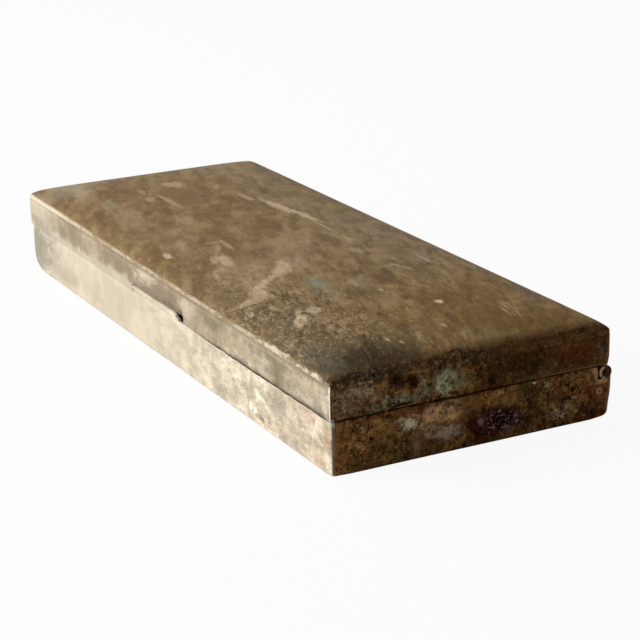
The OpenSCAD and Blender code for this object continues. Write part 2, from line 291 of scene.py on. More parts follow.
    def output(self, colour, metallic, roughness, relief, gloss=0.3):
        """Ends the material. Relief is a height in millimetres."""
        shader = self.node("ShaderNodeBsdfPrincipled")
        self.join(colour, shader.inputs["Base Color"])
        self.join(metallic, shader.inputs["Metallic"])
        self.join(roughness, shader.inputs["Roughness"])
        shader.inputs["Specular IOR Level"].default_value = gloss
        bump = self.node("ShaderNodeBump")
        bump.inputs["Strength"].default_value = 1.0
        bump.inputs["Distance"].default_value = MM
        self.join(relief, bump.inputs["Height"])
        self.tree.links.new(bump.outputs[0], shader.inputs["Normal"])
        end = self.node("ShaderNodeOutputMaterial")
        self.tree.links.new(shader.outputs[0], end.inputs["Surface"])
        return self.material


# Tints of the crust on the ends
GOLD = (0.220, 0.112, 0.032)
OLIVE = (0.080, 0.052, 0.014)
RUST = (0.168, 0.054, 0.013)
BLACK = (0.018, 0.006, 0.002)
OAT = (0.350, 0.240, 0.125)


def crusty_tarnish(f, colours):
    """Brown crust of the ends: its colour and its relief, without the marks of one end."""
    broad = f.grain(20.0, detail=4.0, rough=0.6, seed=1, warp=0.6)
    crust = f.grain(5.0, detail=4.0, rough=0.60, seed=2, warp=0.4)
    flakes = f.grain(2.0, detail=4.0, rough=0.65, seed=6)
    grit = f.grain(0.8, detail=3.0, rough=0.70, seed=3)
    colour = f.tint(tuple(colours.end_tarnish), (0.085, 0.036, 0.010), broad.below(0.48, 0.06) * 0.7)
    colour = f.tint(colour, GOLD, crust.above(0.53, 0.05) * 0.7)
    mould = f.grain(10.0, detail=5.0, rough=0.65, seed=4, warp=0.5)
    colour = f.tint(colour, OLIVE, mould.above(0.56, 0.05) * 0.6)
    rust = f.grain(9.0, detail=5.0, rough=0.65, seed=5, warp=0.5)
    colour = f.tint(colour, RUST, rust.above(0.51, 0.05) * 0.72)
    relief = crust * 0.20 + flakes * 0.12 + grit * 0.06
    return colour, relief


def crusty_grain(f, colour):
    """Broken surface of the crust: golden and dark patches, pale grit and dark pores."""
    crust = f.grain(4.0, detail=5.0, rough=0.64, seed=18)
    flakes = f.grain(1.6, detail=4.0, rough=0.64, seed=16)
    grit = f.grain(0.62, detail=3.0, rough=0.75, seed=17)
    # The far half of the lid is calmer
    calm = f.z.above(SEAM_Z, 0.5) * f.y.above(0.0, 8.0)
    gold = f.shade(f.tint(colour, GOLD, 0.30), 1.30)
    colour = f.tint(colour, gold, crust.above(0.56, 0.08) * (0.65 - calm * 0.45))
    deep = f.shade(f.tint(colour, (0.045, 0.016, 0.004), 0.35), 0.70)
    colour = f.tint(colour, deep, crust.below(0.44, 0.08) * 0.70)
    areas = f.grain(7.0, detail=3.0, rough=0.5, seed=19)
    rough = f.ramp(areas, 0.40, 0.60, low=0.70, high=1.45) * (1.28 - calm * 0.78)
    grain = ((flakes - 0.5) * 2.9 + (grit - 0.5) * 2.4) * rough
    colour = f.shade(colour, grain + 1.02 - calm * 0.22)
    colour = f.tint(colour, OAT, grit.above(0.59, 0.025) * flakes.above(0.51, 0.04) * rough * 0.65)
    return f.tint(colour, BLACK, grit.below(0.405, 0.025) * flakes.below(0.49, 0.04) * 0.80)


# Tints of the tarnish on the domed top
CREAM = (0.600, 0.450, 0.280)
SAND = (0.480, 0.352, 0.215)
KHAKI = (0.300, 0.210, 0.112)
# Grey sheen, painted where the top catches the white surroundings at a grazing angle
GREY_SHEEN = (0.315, 0.232, 0.160)
UMBER = (0.165, 0.098, 0.040)
SOOT = (0.066, 0.047, 0.024)
# Broad, soft stains of the domed top: x, y, half sizes, turn, tint and strength
TOP_CLOUDS = (
    (27, -26, 17, 9, -15, SAND, 0.34),
    (8, -1, 15, 6, -18, SAND, 0.30),
    (-62, -7, 15, 5, -15, (0.225, 0.145, 0.070), 0.65),
    (6, -18, 6, 4, 0, (0.235, 0.140, 0.068), 0.60),
    (-80, -21, 12, 3, -22, UMBER, 0.50),
    (-88, -33, 11, 3, -15, SAND, 0.50),
    (-100, -28, 5, 5, 0, SAND, 0.35),
    (-54, 21, 6, 3, 0, UMBER, 0.60),
    (-72, 15, 7, 3, 0, UMBER, 0.40),
    (27, 24, 9, 4.5, 0, (0.215, 0.145, 0.080), 0.60),
    (52, -1, 7, 4, -20, SAND, 0.25),
    (82, 35, 9, 2.4, 0, (0.165, 0.108, 0.084), 0.65),
    (88, 12, 19, 10, 0, (0.175, 0.100, 0.032), 0.66),
    (102, 26, 8, 10, 0, (0.165, 0.090, 0.026), 0.65),
    (82, -36, 32, 9, 0, (0.198, 0.140, 0.074), 0.82),
    (103, -25, 12, 13, -20, (0.112, 0.077, 0.032), 0.75),
    (106, -30, 8, 12, -15, (0.052, 0.036, 0.018), 0.90),
    (50, 18, 11, 6, 0, (0.200, 0.130, 0.062), 0.45),
    (49, -14, 8, 3.5, -15, (0.262, 0.225, 0.150), 0.50),
    (24, -9, 6, 4, -10, SAND, 0.45),
    (85, -17, 8, 5, 0, (0.200, 0.130, 0.052), 0.45),
    (-97, -34, 10, 6, 0, (0.400, 0.345, 0.262), 0.40),
    (97, -39.5, 13, 4, 0, (0.118, 0.096, 0.062), 0.80),
    (52, -39, 34, 4.5, 0, (0.222, 0.160, 0.084), 0.60),
)
# Smaller, sharper stains and wipes of the domed top
TOP_MARKS = (
    (25, -13.5, 4.5, 2.0, -20, CREAM, 0.80),
    (30, -16.5, 4.5, 2.6, -35, CREAM, 0.85),
    (31.8, -19.2, 1.2, 0.8, 0, KHAKI, 0.90),
    (26, -17, 1.1, 0.7, 0, KHAKI, 0.80),
    (34, -22.5, 5.0, 1.4, -52, CREAM, 0.75),
    (38, -22.0, 2.6, 1.2, -52, KHAKI, 0.70),
    (38.5, -27.5, 4.5, 1.9, -48, CREAM, 0.80),
    (45.5, -31.5, 4.2, 2.8, -10, CREAM, 0.70),
    (48.4, -36, 1.8, 4.2, -4, CREAM, 0.62),
    (42, -30, 3.2, 1.6, -20, CREAM, 0.70),
    (10, -25.3, 6.5, 1.7, -12, CREAM, 0.80),
    (8, -28, 3.6, 1.1, -20, CREAM, 0.60),
    (17, -30, 3.8, 0.7, -60, SAND, 0.75),
    (21, -33.5, 4.0, 0.8, -20, SAND, 0.70),
    (66, -25, 2.2, 2.0, 0, CREAM, 0.85),
    (71, -31.8, 5.0, 1.8, -35, CREAM, 0.90),
    (65, -28.5, 1.2, 2.0, 0, SAND, 0.60),
    (58, -33, 2.2, 1.0, 0, SAND, 0.70),
    (56, -39.5, 2.2, 0.9, 0, CREAM, 0.70),
    (44.5, -12.7, 4.0, 2.0, -8, (0.290, 0.300, 0.230), 0.75),
    (51, 6.5, 7.0, 3.3, -30, (0.142, 0.083, 0.032), 0.92),
    (93, 16, 11.0, 1.4, -10, UMBER, 0.85),
    (38, 26, 5.0, 0.6, 0, (0.470, 0.360, 0.300), 0.80),
    (22.5, 12.5, 3.0, 2.0, 0, SAND, 0.60),
    (44, 16, 4.8, 0.8, 15, SAND, 0.60),
    (41, 12.5, 0.8, 3.4, 0, SAND, 0.40),
    (77.5, 8, 1.5, 1.2, 0, (0.72, 0.56, 0.36), 0.95),
    (60.5, -0.5, 1.0, 0.7, 0, CREAM, 0.80),
    (50, -4, 3.2, 1.3, -10, SAND, 0.60),
    (95, -1, 1.3, 0.6, 0, CREAM, 0.80),
    (92, 20, 4.0, 0.30, -8, CREAM, 0.45),
    (96, 22, 3.6, 0.28, -14, CREAM, 0.40),
    (88, 22, 3.2, 0.28, -4, CREAM, 0.40),
    (97, -19.5, 1.9, 0.35, 0, CREAM, 0.70),
    (100, -17, 1.0, 0.5, 0, CREAM, 0.60),
    (-36, 15.5, 10.0, 1.7, 3, CREAM, 0.85),
    (-22, 17.6, 9.0, 1.4, 5, CREAM, 0.80),
    (-7, 17, 9.0, 0.6, -1, SAND, 0.75),
    (10, 16.4, 3.0, 0.8, -8, SAND, 0.65),
    (-52, 11.5, 5.0, 1.3, 0, SAND, 0.85),
    (-70, 9.5, 3.2, 1.0, -30, SAND, 0.55),
    (-80, -2.5, 4.6, 3.2, 20, SAND, 0.85),
    (-61, -12.3, 8.5, 1.1, 0, SAND, 0.75),
    (-66, -17, 3.0, 1.8, 0, SAND, 0.60),
    (-77, -15.5, 4.0, 1.2, -10, SAND, 0.50),
    (-48, -31, 12, 4.0, 0, SAND, 0.30),
    (-36, -17, 5.0, 2.2, -20, SAND, 0.50),
    (-68, -30, 5.0, 2.0, -10, (0.310, 0.262, 0.150), 0.70),
    (-88, -32, 7.0, 1.8, -15, SAND, 0.50),
    (-6, -37, 2.6, 0.9, 0, CREAM, 0.90),
    (-4, -18.2, 5.0, 0.9, -6, SAND, 0.75),
    (-8.5, -21, 1.0, 2.4, 0, SAND, 0.55),
    (-1, -22.6, 4.2, 0.9, -25, SAND, 0.65),
    (-12, -30, 5.0, 1.8, -20, SAND, 0.55),
    (-26, -25, 5.0, 1.4, -35, SAND, 0.35),
    (-67, 24.5, 3.0, 1.0, -10, SAND, 0.45),
    (-14, 7, 4.5, 1.2, -20, SAND, 0.30),
)
# Stretches of the top, from low to high X. Each has its own material, alike where they meet,
# because one can't carry all the stains.
TOP_STRETCHES = {"left": (-120, -25), "middle": (-25, 45), "right": (45, 120)}
# A stain has faded out at this many half sizes from its middle
STAIN_REACH = 2.4


def reaching(marks, low_x, high_x):
    """The stains that may reach a stretch of the top."""
    chosen = []
    for mark in marks:
        x, reach = mark[0], STAIN_REACH * max(mark[2:4])
        if low_x - reach < x < high_x + reach:
            chosen.append(mark)
    return chosen


def top_finish(colours, stretch):
    """Mottled khaki tarnish of one stretch of the domed top, with painted grey sheen at the back left and a
    pale front edge that is worn plate and painted highlight.
    """
    f = Finish("top_tarnish_" + stretch)
    low_x, high_x = TOP_STRETCHES[stretch]
    # The tarnish runs in short strokes across the lid, from the back left to the front right
    along = (0, 0, -17)
    cloud = f.grain(10.0, detail=5.0, rough=0.58, seed=3, stretch=(2.1, 1, 1), turn=along, warp=0.3)
    mottle = f.grain(4.3, detail=5.0, rough=0.62, seed=2, stretch=(2.4, 1, 1), turn=along, warp=0.2)
    flakes = f.grain(1.8, detail=4.0, rough=0.66, seed=6, stretch=(2.4, 1, 1), turn=along)
    grit = f.grain(0.72, detail=3.0, rough=0.75, seed=4, stretch=(2.2, 1, 1), turn=along)
    right = f.ramp(f.x, -30.0, 80.0)
    near = f.ramp(f.y, -2.0, -26.0) * f.ramp(f.x, 10.0, 60.0)
    golden = f.ramp(f.x, 20.0, 90.0) * (0.85 - near * 0.60)
    colour = f.tint(tuple(colours.tarnish), (0.238, 0.137, 0.043), golden)
    colour = f.tint(colour, UMBER, cloud.below(0.47, 0.06) * 0.45)
    # Painted grey sheen over the tarnish: towards the back left, and at the left end, which faces the light
    colour = f.tint(colour, GREY_SHEEN, f.y.above(14.0, 7.0) * f.x.below(40.0, 40.0) * (0.25 + cloud * 0.4))
    colour = f.tint(colour, GREY_SHEEN, f.x.below(-92.0, 9.0) * 0.6)
    olive = f.grain(12.0, detail=5.0, rough=0.6, seed=8, warp=0.6).above(0.53, 0.06)
    colour = f.tint(colour, (0.262, 0.193, 0.078), olive * 0.55)
    colour = f.tint(colour, (0.395, 0.280, 0.145), mottle.above(0.555, 0.045) * (0.55 - right * 0.1))
    colour = f.tint(colour, (0.140, 0.084, 0.034), mottle.below(0.44, 0.05) * (0.45 + right * 0.25))
    colour = f.stains(colour, "top", reaching(TOP_CLOUDS, low_x, high_x), soft=0.55, ragged=1.0)
    colour = f.stains(colour, "top", reaching(TOP_MARKS, low_x, high_x), soft=0.42, ragged=1.25)
    areas = f.grain(8.0, detail=3.0, rough=0.5, seed=11, stretch=(2.0, 1, 1), turn=along)
    patchy = f.ramp(areas, 0.40, 0.60, low=0.60, high=1.50)
    coarse = (flakes - 0.5) * (0.4 + right * 0.9 + near * 0.9)
    fine = (grit - 0.5) * (right * 0.5 + near * 1.0)
    colour = f.shade(colour, 1.02 + (coarse + fine) * patchy)
    granules = right * 0.12 + near * f.x.below(94.0, 8.0) * 0.60
    pale_grit = grit.above(0.57, 0.03) * flakes.above(0.49, 0.05) * granules
    colour = f.tint(colour, (0.51, 0.40, 0.26), pale_grit)
    pores = grit.below(0.41, 0.03) * flakes.below(0.50, 0.05) * (right * 0.13 + near * 0.10)
    colour = f.tint(colour, SOOT, pores)
    colour = f.tint(colour, CREAM, f.specks(9.0, 0.30, seed=2, share=0.30) * right * 0.7)
    long_lines = f.scratches(16.0, 0.40, seed=1, turn=(0, 0, 20), share=0.42)
    short_lines = f.scratches(12.0, 0.36, seed=2, turn=(0, 0, -12), share=0.42)
    scratched = (long_lines + short_lines) * f.ramp(f.x, -30.0, 60.0, low=0.02, high=0.28)
    colour = f.tint(colour, SAND, scratched)
    relief = cloud * 0.20 + mottle * 0.10 + flakes * (0.02 + right * 0.05) + grit * right * 0.03
    if stretch == "right":
        # The roll down to the right end: crust, streaked along the edge
        roll = (f.x + (mottle - 0.5) * 7.0).above(LID_X - 2.8, 1.8)
        crust, crust_relief = crusty_tarnish(f, colours)
        streaks = f.grain(1.3, detail=4.0, rough=0.65, seed=12, stretch=(1, 7, 1.4), warp=0.5)
        crust = f.tint(crust, (0.200, 0.105, 0.036), streaks.above(0.53, 0.05) * 0.35)
        crust = f.tint(crust, (0.060, 0.026, 0.008), streaks.below(0.45, 0.05) * 0.7)
        high_marks = [mark for mark in LID_END_MARKS if mark[1] + mark[3] > SEAT_Z - 0.4]
        crust = f.stains(crust, "end", high_marks, soft=0.5, ragged=1.3)
        colour = f.tint(colour, f.shade(crusty_grain(f, crust), 0.92), roll)
        relief = relief + crust_relief * roll
    # The front edge is rubbed down to the plate in a thin line, broken and granular at the right. It is
    # also a painted highlight where the rolled edge catches the light, brighter than the plate and widest
    # at the left corner.
    inward = f.y - LID_FRONT_Y
    left = f.ramp(f.x, -40.0, -90.0)
    worn = f.ramp(f.x, 45.0, 85.0)
    ragged = (mottle - 0.5) * (0.5 + worn * 1.3) + (flakes - 0.5) * (0.4 + worn * 0.9)
    edge = f.ramp(inward + ragged, 0.52 + left * 0.25 + worn * 0.20, 0.12, low=0.0, high=1.0)
    faded = f.ramp(abs(f.x), 50.0, 95.0, low=0.60, high=0.95)
    dull = (mottle + grit - 1.0).above(0.02, 0.10) * (1.0 - left)
    rubbed_and_lit_band = f.tint(f.shade(tuple(colours.plate), 1.1), (0.360, 0.275, 0.175), dull)
    colour = f.tint(colour, rubbed_and_lit_band, edge * faded * f.x.below(LID_X - 0.5, 0.4))
    return f.output(colour, metallic=edge * 0.15, roughness=0.52 + mottle * 0.2 - edge * 0.08,
                    relief=relief, gloss=0.04)


# Tints of the plate on the long sides
GLINT = (0.900, 0.830, 0.680)
BRIGHT = (0.815, 0.722, 0.552)
TAN = (0.560, 0.468, 0.340)
TAUPE = (0.480, 0.395, 0.290)
FILM = (0.270, 0.205, 0.137)
DUSK = (0.215, 0.155, 0.105)
# Stains of the base's front sheet: x, z, half sizes, turn, tint and strength
BASE_FRONT_MARKS = (
    # The first mark is painted shade, greyer where the left corner turns away from the light
    (-104, 8.5, 13, 10, 0, (0.305, 0.258, 0.196), 0.88),
    (-80, 4.5, 14, 2.4, 8, TAUPE, 0.70),
    (-60, 11, 8, 3, 0, (0.730, 0.640, 0.480), 0.60),
    (-50, 7, 3.6, 4.5, 0, TAN, 0.75),
    (-31, 8, 3, 6, 0, TAN, 0.50),
    (-10, 8, 9, 4, 0, (0.745, 0.650, 0.480), 0.60),
    (-5, 13.5, 6, 0.8, 15, TAN, 0.55),
    (15, 10, 6, 2.2, 0, TAN, 0.45),
    (24, 5, 3.6, 3.6, 0, TAN, 0.70),
    (32, 12, 2.5, 3.2, 0, TAN, 0.55),
    (40, 11, 2.0, 4.2, 0, TAN, 0.55),
    (45.5, 11, 3.4, 2.6, 0, BRIGHT, 0.80),
    (45, 4, 9, 2.0, 0, TAN, 0.45),
    (52, 7, 3.6, 2.4, 0, TAN, 0.60),
    (66, 13.2, 8, 1.6, 0, BRIGHT, 0.70),
    (80, 12, 5, 2.2, 0, (0.440, 0.365, 0.262), 0.80),
    (78, 4, 8, 2.0, 0, TAN, 0.60),
    (92, 8, 6, 4, 0, (0.700, 0.560, 0.425), 0.65),
    (90, 2.8, 10, 1.5, 0, TAN, 0.65),
    (107, 10, 2.8, 4, 0, (0.440, 0.300, 0.175), 0.85),
    (103, 4, 3.0, 2.5, 0, (0.560, 0.400, 0.270), 0.70),
    (98, 13, 3.5, 1.6, 0, (0.620, 0.450, 0.330), 0.70),
    (108, 5, 1.6, 2, 0, BRIGHT, 0.50),
)
# The blister low on the base's front: a tan body, a painted highlight on its crown and painted shade on its
# right edge
BLISTER_MARKS = (
    (68.4, 3.4, 3.0, 1.0, -12, (0.230, 0.165, 0.110), 0.85),
    (66.0, 4.3, 3.8, 1.5, -6, TAN, 0.70),
    (63.2, 4.7, 1.1, 1.1, 0, GLINT, 0.95),
    (66.2, 4.5, 1.0, 0.9, 0, GLINT, 0.85),
)
# The lip's torn end, bent out: a painted highlight on it
LIP_END_MARKS = (
    (12.6, 16.8, 3.2, 1.0, 0, (0.900, 0.815, 0.660), 1.00),
)
# Bare plate on the lid at the end of the lip's notch, and painted shade in the slot beside the lip's torn
# end
NOTCH_MARKS = (
    (21.6, 20.4, 3.3, 3.6, 0, (0.660, 0.550, 0.400), 0.85),
    (17.9, 17.8, 0.8, 2.0, 0, (0.130, 0.076, 0.050), 0.90),
)
# Stains of the lid's front sheet
LID_FRONT_MARKS = (
    (-68, 20, 11, 2.6, 0, FILM, 0.55),
    (-72, 24, 7, 1.0, 0, DUSK, 0.55),
    (-50, 20, 5.5, 3, 0, (0.530, 0.440, 0.325), 0.65),
    (-35, 22.2, 9, 2.4, 0, (0.280, 0.205, 0.134), 0.65),
    (4, 20.5, 15.5, 3.6, 0, (0.270, 0.195, 0.133), 0.80),
    (-9, 23, 6.5, 1.9, 8, (0.690, 0.580, 0.420), 0.90),
    # The next two thin dark marks, along the top of the lip's notch, are painted shade in the gap above the
    # lip
    (-8, 18.4, 11, 0.9, 0, DUSK, 0.50),
    (13, 18.7, 7, 1.3, 0, (0.165, 0.115, 0.078), 0.85),
    (24, 22, 5, 2.2, 0, (0.650, 0.540, 0.390), 0.85),
    (39, 22.7, 8, 2.5, 0, (0.255, 0.206, 0.114), 0.92),
    (33, 18, 5, 1.8, 0, (0.520, 0.400, 0.275), 0.55),
    (55, 20.5, 8, 2.6, 0, (0.510, 0.400, 0.245), 0.70),
    (60, 17, 10, 1.1, 0, (0.650, 0.540, 0.395), 0.75),
    (80, 19.3, 5.5, 3.4, 0, (0.225, 0.172, 0.096), 0.88),
    (75, 23.3, 12, 1.7, 0, (0.305, 0.242, 0.142), 0.85),
    (95, 21, 8, 2.8, 0, (0.570, 0.455, 0.312), 0.80),
    (100, 24.4, 9, 1.2, 0, (0.290, 0.222, 0.135), 0.80),
    (-102, 17, 9, 2.2, 0, (0.340, 0.285, 0.215), 0.75),
    (107, 19, 2, 3, 0, BRIGHT, 0.50),
)


def side_finish(colours, body):
    """Silver plate of the long sides: cream where rubbed, filmed tan over most of the lid."""
    f = Finish("side_plate_" + body)
    lid = 1.0 if body == "lid" else 0.0
    back = f.y.above(0.0, 1.0)
    right = f.ramp(f.x, -30.0, 80.0)
    drips = f.grain(8.0, detail=4.0, rough=0.55, seed=2, stretch=(1, 1, 1.9), turn=(0, -12, 0), warp=0.4)
    blots = f.grain(6.5, detail=6.0, rough=0.66, seed=5, stretch=(1.8, 1, 1), turn=(0, 20, 0), warp=0.6)
    mottle = f.grain(2.8, detail=4.0, rough=0.62, seed=6, stretch=(1.8, 1, 1), warp=0.2)
    grit = f.grain(0.9, detail=3.0, rough=0.75, seed=3, stretch=(1.8, 1, 1))
    colour = f.tint(tuple(colours.plate), BRIGHT, drips.above(0.54, 0.06) * (0.25 + right * 0.4))
    colour = f.tint(colour, TAN, drips.below(0.47, 0.05) * (0.40 + right * 0.25))
    colour = f.tint(colour, TAUPE, blots.below(0.45, 0.05) * right * 0.50)
    colour = f.tint(colour, (0.640, 0.490, 0.350), blots.above(0.57, 0.05) * right * 0.5)
    if body == "lid":
        # Film: thin at the left corner, wiped off along the rim left of the thumb lip
        streaks = f.grain(6.5, detail=4.0, rough=0.6, seed=8, stretch=(1, 1, 2.0))
        uneven = (blots - 0.5) * 6.0 + (streaks - 0.5) * 6.0
        rubbed_rim = (f.z + uneven).below(18.2, 1.1) * f.x.below(-18.0, 3.0)
        corner = f.ramp(f.x + (blots - 0.5) * 20.0, -92.0, -82.0, low=0.32, high=1.0)
        heavy = corner * f.ramp(f.x, 62.0, 42.0, low=0.52, high=1.0) * (1.0 - rubbed_rim)
        film = f.tint(tuple(colours.plate_film), (0.380, 0.302, 0.212), blots.above(0.52, 0.06) * 0.7)
        thick = 0.50 + mottle.above(0.50, 0.08) * 0.16 + streaks.above(0.47, 0.05) * 0.30
        colour = f.tint(colour, film, heavy * thick)
        # A warm veil over all of it
        colour = f.tint(colour, (0.400, 0.310, 0.175), 0.20)
    marks = LID_FRONT_MARKS if body == "lid" else BASE_FRONT_MARKS
    front = f.stains(colour, "front", marks, soft=0.80, ragged=1.9)
    sharp_marks = NOTCH_MARKS if body == "lid" else LIP_END_MARKS + BLISTER_MARKS
    front = f.stains(front, "front", sharp_marks, soft=0.35, ragged=0.8)
    behind = f.tint(colour, (0.330, 0.250, 0.160), 0.45 + blots.above(0.48, 0.10) * 0.45)
    colour = f.tint(front, behind, back)
    # Broken, granular surface, stronger towards the right
    dark = mottle.below(0.46, 0.05) * (0.08 + right * 0.40)
    colour = f.tint(colour, f.shade(colour, 0.64), dark)
    flecks = grit.below(0.42, 0.03) * mottle.below(0.50, 0.05)
    colour = f.tint(colour, (0.250, 0.180, 0.110), flecks * right * 0.50)
    rubs = (mottle + (grit - 0.5) * 0.8).above(0.575, 0.03)
    colour = f.tint(colour, f.shade(colour, 1.28), rubs * right * 0.8)
    colour = f.shade(colour, 1.0 + right * (1.0 - lid) * 0.10)
    # Painted shade, with some dirt, in the seam and on the lid just above it, and a painted highlight along
    # the rim of the base under it
    rim = (f.z + (mottle - 0.5) * 0.9).above(RIM_Z - 0.45, 0.2) * (1.0 - lid)
    colour = f.tint(colour, BRIGHT, rim * f.x.above(20.0, 4.0) * 0.6)
    seam = abs(f.z - SEAM_Z + (mottle - 0.5) * 0.9).below(0.30 + right * 0.10, 0.12)
    colour = f.tint(colour, (0.060, 0.034, 0.016), seam * f.x.above(30.0, 12.0) * 0.95)
    lid_edge_shade = (f.z - LID_RIM_Z + (mottle - 0.5) * 3.0).below(0.8, 0.8) * lid
    colour = f.tint(colour, (0.170, 0.120, 0.075), lid_edge_shade * f.x.above(46.0, 16.0) * 0.6)
    # Painted shade on the lid's side just under the top's edge
    shade_under_top_edge = (f.z + (mottle - 0.5) * 1.5).above(SEAT_Z - 0.2, 0.9) * f.x.above(-60.0, 60.0)
    colour = f.tint(colour, (0.260, 0.190, 0.118), shade_under_top_edge * 0.55)
    # Painted shade along the foot of the sheet
    colour = f.tint(colour, TAUPE, f.z.below(0.7, 0.6) * (0.2 + blots * 0.8))
    # The lid's near upright corner: worn plate and a painted highlight where its rounding catches the light
    corner = (f.x + (mottle - 0.5) * 0.8).above(LID_X - 0.85, 0.22) * lid * (1.0 - back)
    colour = f.tint(colour, (0.900, 0.815, 0.680), corner)
    # The cut ends of these sheets show on the ends of the box
    crust, crust_relief = crusty_tarnish(f, colours)
    cut = abs(f.x).above(BASE_X - 0.10, 0.06)
    strip = f.tint(crusty_grain(f, crust), (0.185, 0.148, 0.088), (1.0 - back) * (1.0 - lid) * 0.6)
    colour = f.tint(colour, strip, cut)
    bloom = f.spot("end", (-43.0, 15.2, 1.7, 0.9, 0), soft=0.4, ragged=0.7, seed=4, size=1.2)
    at_corner = f.x.above(BASE_X - 2.5, 1.5)
    colour = f.tint(colour, (0.540, 0.540, 0.420), bloom * at_corner * 0.75)
    relief = drips * 0.10 + blots * 0.10 + mottle * (0.02 + right * 0.03) + grit * right * 0.02
    return f.output(colour, metallic=0.15, roughness=0.45 + mottle * 0.16,
                    relief=relief + crust_relief * cut, gloss=0.2)


# Tints of small marks on the ends
PIT_BROWN = (0.060, 0.026, 0.012)
PALE_GRAIN = (0.480, 0.430, 0.320)
DULL_GRAIN = (0.420, 0.390, 0.300)
STRAW = (0.560, 0.420, 0.260)
HUSK = (0.500, 0.370, 0.220)
ROSE = (0.400, 0.280, 0.250)
DUSKY_ROSE = (0.360, 0.250, 0.220)
# Stains of the lid's right end: y, z, half sizes, turn, tint and strength
LID_END_MARKS = (
    (-35, 21, 9, 5.5, 0, (0.150, 0.096, 0.050), 0.65),
    (-35, 23.2, 3.6, 1.5, -20, (0.360, 0.255, 0.145), 0.85),
    (-40.5, 20, 1.6, 2.2, 0, (0.300, 0.220, 0.135), 0.60),
    (-31, 26.2, 13, 2.2, 0, (0.078, 0.050, 0.026), 0.85),
    (12, 20.3, 14, 3.4, 0, (0.043, 0.019, 0.004), 0.90),
    (-22.5, 17.6, 8, 1.7, 3, (0.165, 0.155, 0.096), 0.85),
    (-16.2, 19.6, 1.5, 2.8, 0, (0.175, 0.170, 0.090), 0.85),
    (-14.2, 21.6, 1.3, 2.2, 0, (0.050, 0.036, 0.010), 0.85),
    (-9.5, 20.8, 2.8, 3.4, -8, (0.365, 0.355, 0.220), 0.92),
    (-5.2, 20.3, 2.8, 2.6, 0, (0.165, 0.150, 0.066), 0.85),
    (-24, 23, 3.0, 2.2, -25, PIT_BROWN, 0.80),
    (-19.8, 22.4, 2.2, 2.0, 0, PIT_BROWN, 0.80),
    (4.4, 17.9, 1.6, 1.6, 0, PIT_BROWN, 0.70),
    (8, 20, 1.3, 1.2, 0, (0.120, 0.055, 0.022), 0.60),
    (23, 18, 3.2, 2.0, 0, (0.085, 0.062, 0.016), 0.70),
    (33, 20.8, 5.5, 3.8, 0, (0.118, 0.035, 0.007), 0.90),
    (-3, 25.3, 10, 1.9, 0, (0.060, 0.037, 0.013), 0.90),
    (40, 20.2, 1.7, 1.8, 0, (0.105, 0.092, 0.055), 0.75),
    (-27.3, 19.5, 0.35, 0.3, 0, PALE_GRAIN, 0.80),
    (-24.7, 20, 0.3, 0.25, 0, PALE_GRAIN, 0.70),
    (-20, 17.7, 0.3, 0.25, 0, DULL_GRAIN, 0.70),
    (-12.7, 17.3, 0.3, 0.2, 0, DULL_GRAIN, 0.70),
    (-33, 24.2, 2.2, 0.4, 25, OAT, 0.70),
    (-38.5, 22.3, 1.6, 0.5, -30, OAT, 0.60),
)
# Stains of the base's right end
BASE_END_MARKS = (
    (-35, 8, 9.5, 6.5, 0, (0.200, 0.096, 0.030), 0.70),
    (-29.5, 11.4, 4.2, 1.9, 0, (0.260, 0.145, 0.040), 0.75),
    (-17, 6, 3.4, 3.2, 0, (0.240, 0.130, 0.070), 0.60),
    (-20.8, 10.9, 2.6, 1.8, 0, (0.620, 0.560, 0.330), 0.92),
    (-11, 11.2, 6, 3.2, 0, (0.450, 0.270, 0.125), 0.88),
    (-9, 6.3, 4.8, 2.0, 0, (0.460, 0.305, 0.225), 0.88),
    (5.5, 12.4, 6.8, 1.8, 0, (0.230, 0.108, 0.026), 0.85),
    (5.8, 6.0, 9.4, 4.0, -5, (0.050, 0.011, 0.006), 0.92),
    (20, 9.5, 4, 4.5, 0, (0.080, 0.044, 0.010), 0.80),
    (35.5, 9, 2.7, 2.2, 0, (0.170, 0.046, 0.012), 0.80),
    (36, 3.8, 4.5, 2.2, 0, (0.062, 0.020, 0.005), 0.75),
    (26.5, 4.8, 3.6, 2.3, 0, OAT, 0.55),
    (7.5, 13.9, 0.9, 0.4, 0, OAT, 0.80),
    (18.3, 14.7, 0.5, 0.3, 0, (0.700, 0.640, 0.500), 0.90),
    (22.2, 13.6, 0.8, 0.9, 0, (0.330, 0.240, 0.130), 0.75),
    (23.5, 12.3, 0.45, 0.4, 0, BLACK, 0.90),
    (30, 13.5, 1.0, 1.3, 0, (0.100, 0.105, 0.036), 0.65),
    (31, 8.2, 0.9, 0.3, 0, (0.420, 0.280, 0.150), 0.80),
    (25.5, 4.6, 1.0, 0.8, 0, STRAW, 0.85),
    (27.4, 3.6, 0.9, 0.5, 0, STRAW, 0.85),
    (28.5, 6, 0.7, 0.8, 0, HUSK, 0.85),
    (24.5, 6.5, 0.6, 0.6, 0, HUSK, 0.80),
    (32, 3.9, 0.8, 0.5, 0, OAT, 0.80),
)
# Pits eaten into the lid's right end
PIT_MARKS = (
    (-24.5, 23.5, 1.9, 1.7, -25, BLACK, 0.90),
    (-22.8, 22.0, 1.3, 1.2, 0, (0.045, 0.014, 0.007), 0.85),
    (-19.8, 22.2, 1.8, 1.7, 0, BLACK, 0.92),
    (4.4, 17.7, 1.15, 1.15, 0, BLACK, 0.92),
    (-23.0, 16.5, 3.6, 0.45, 3, BLACK, 0.95),
)
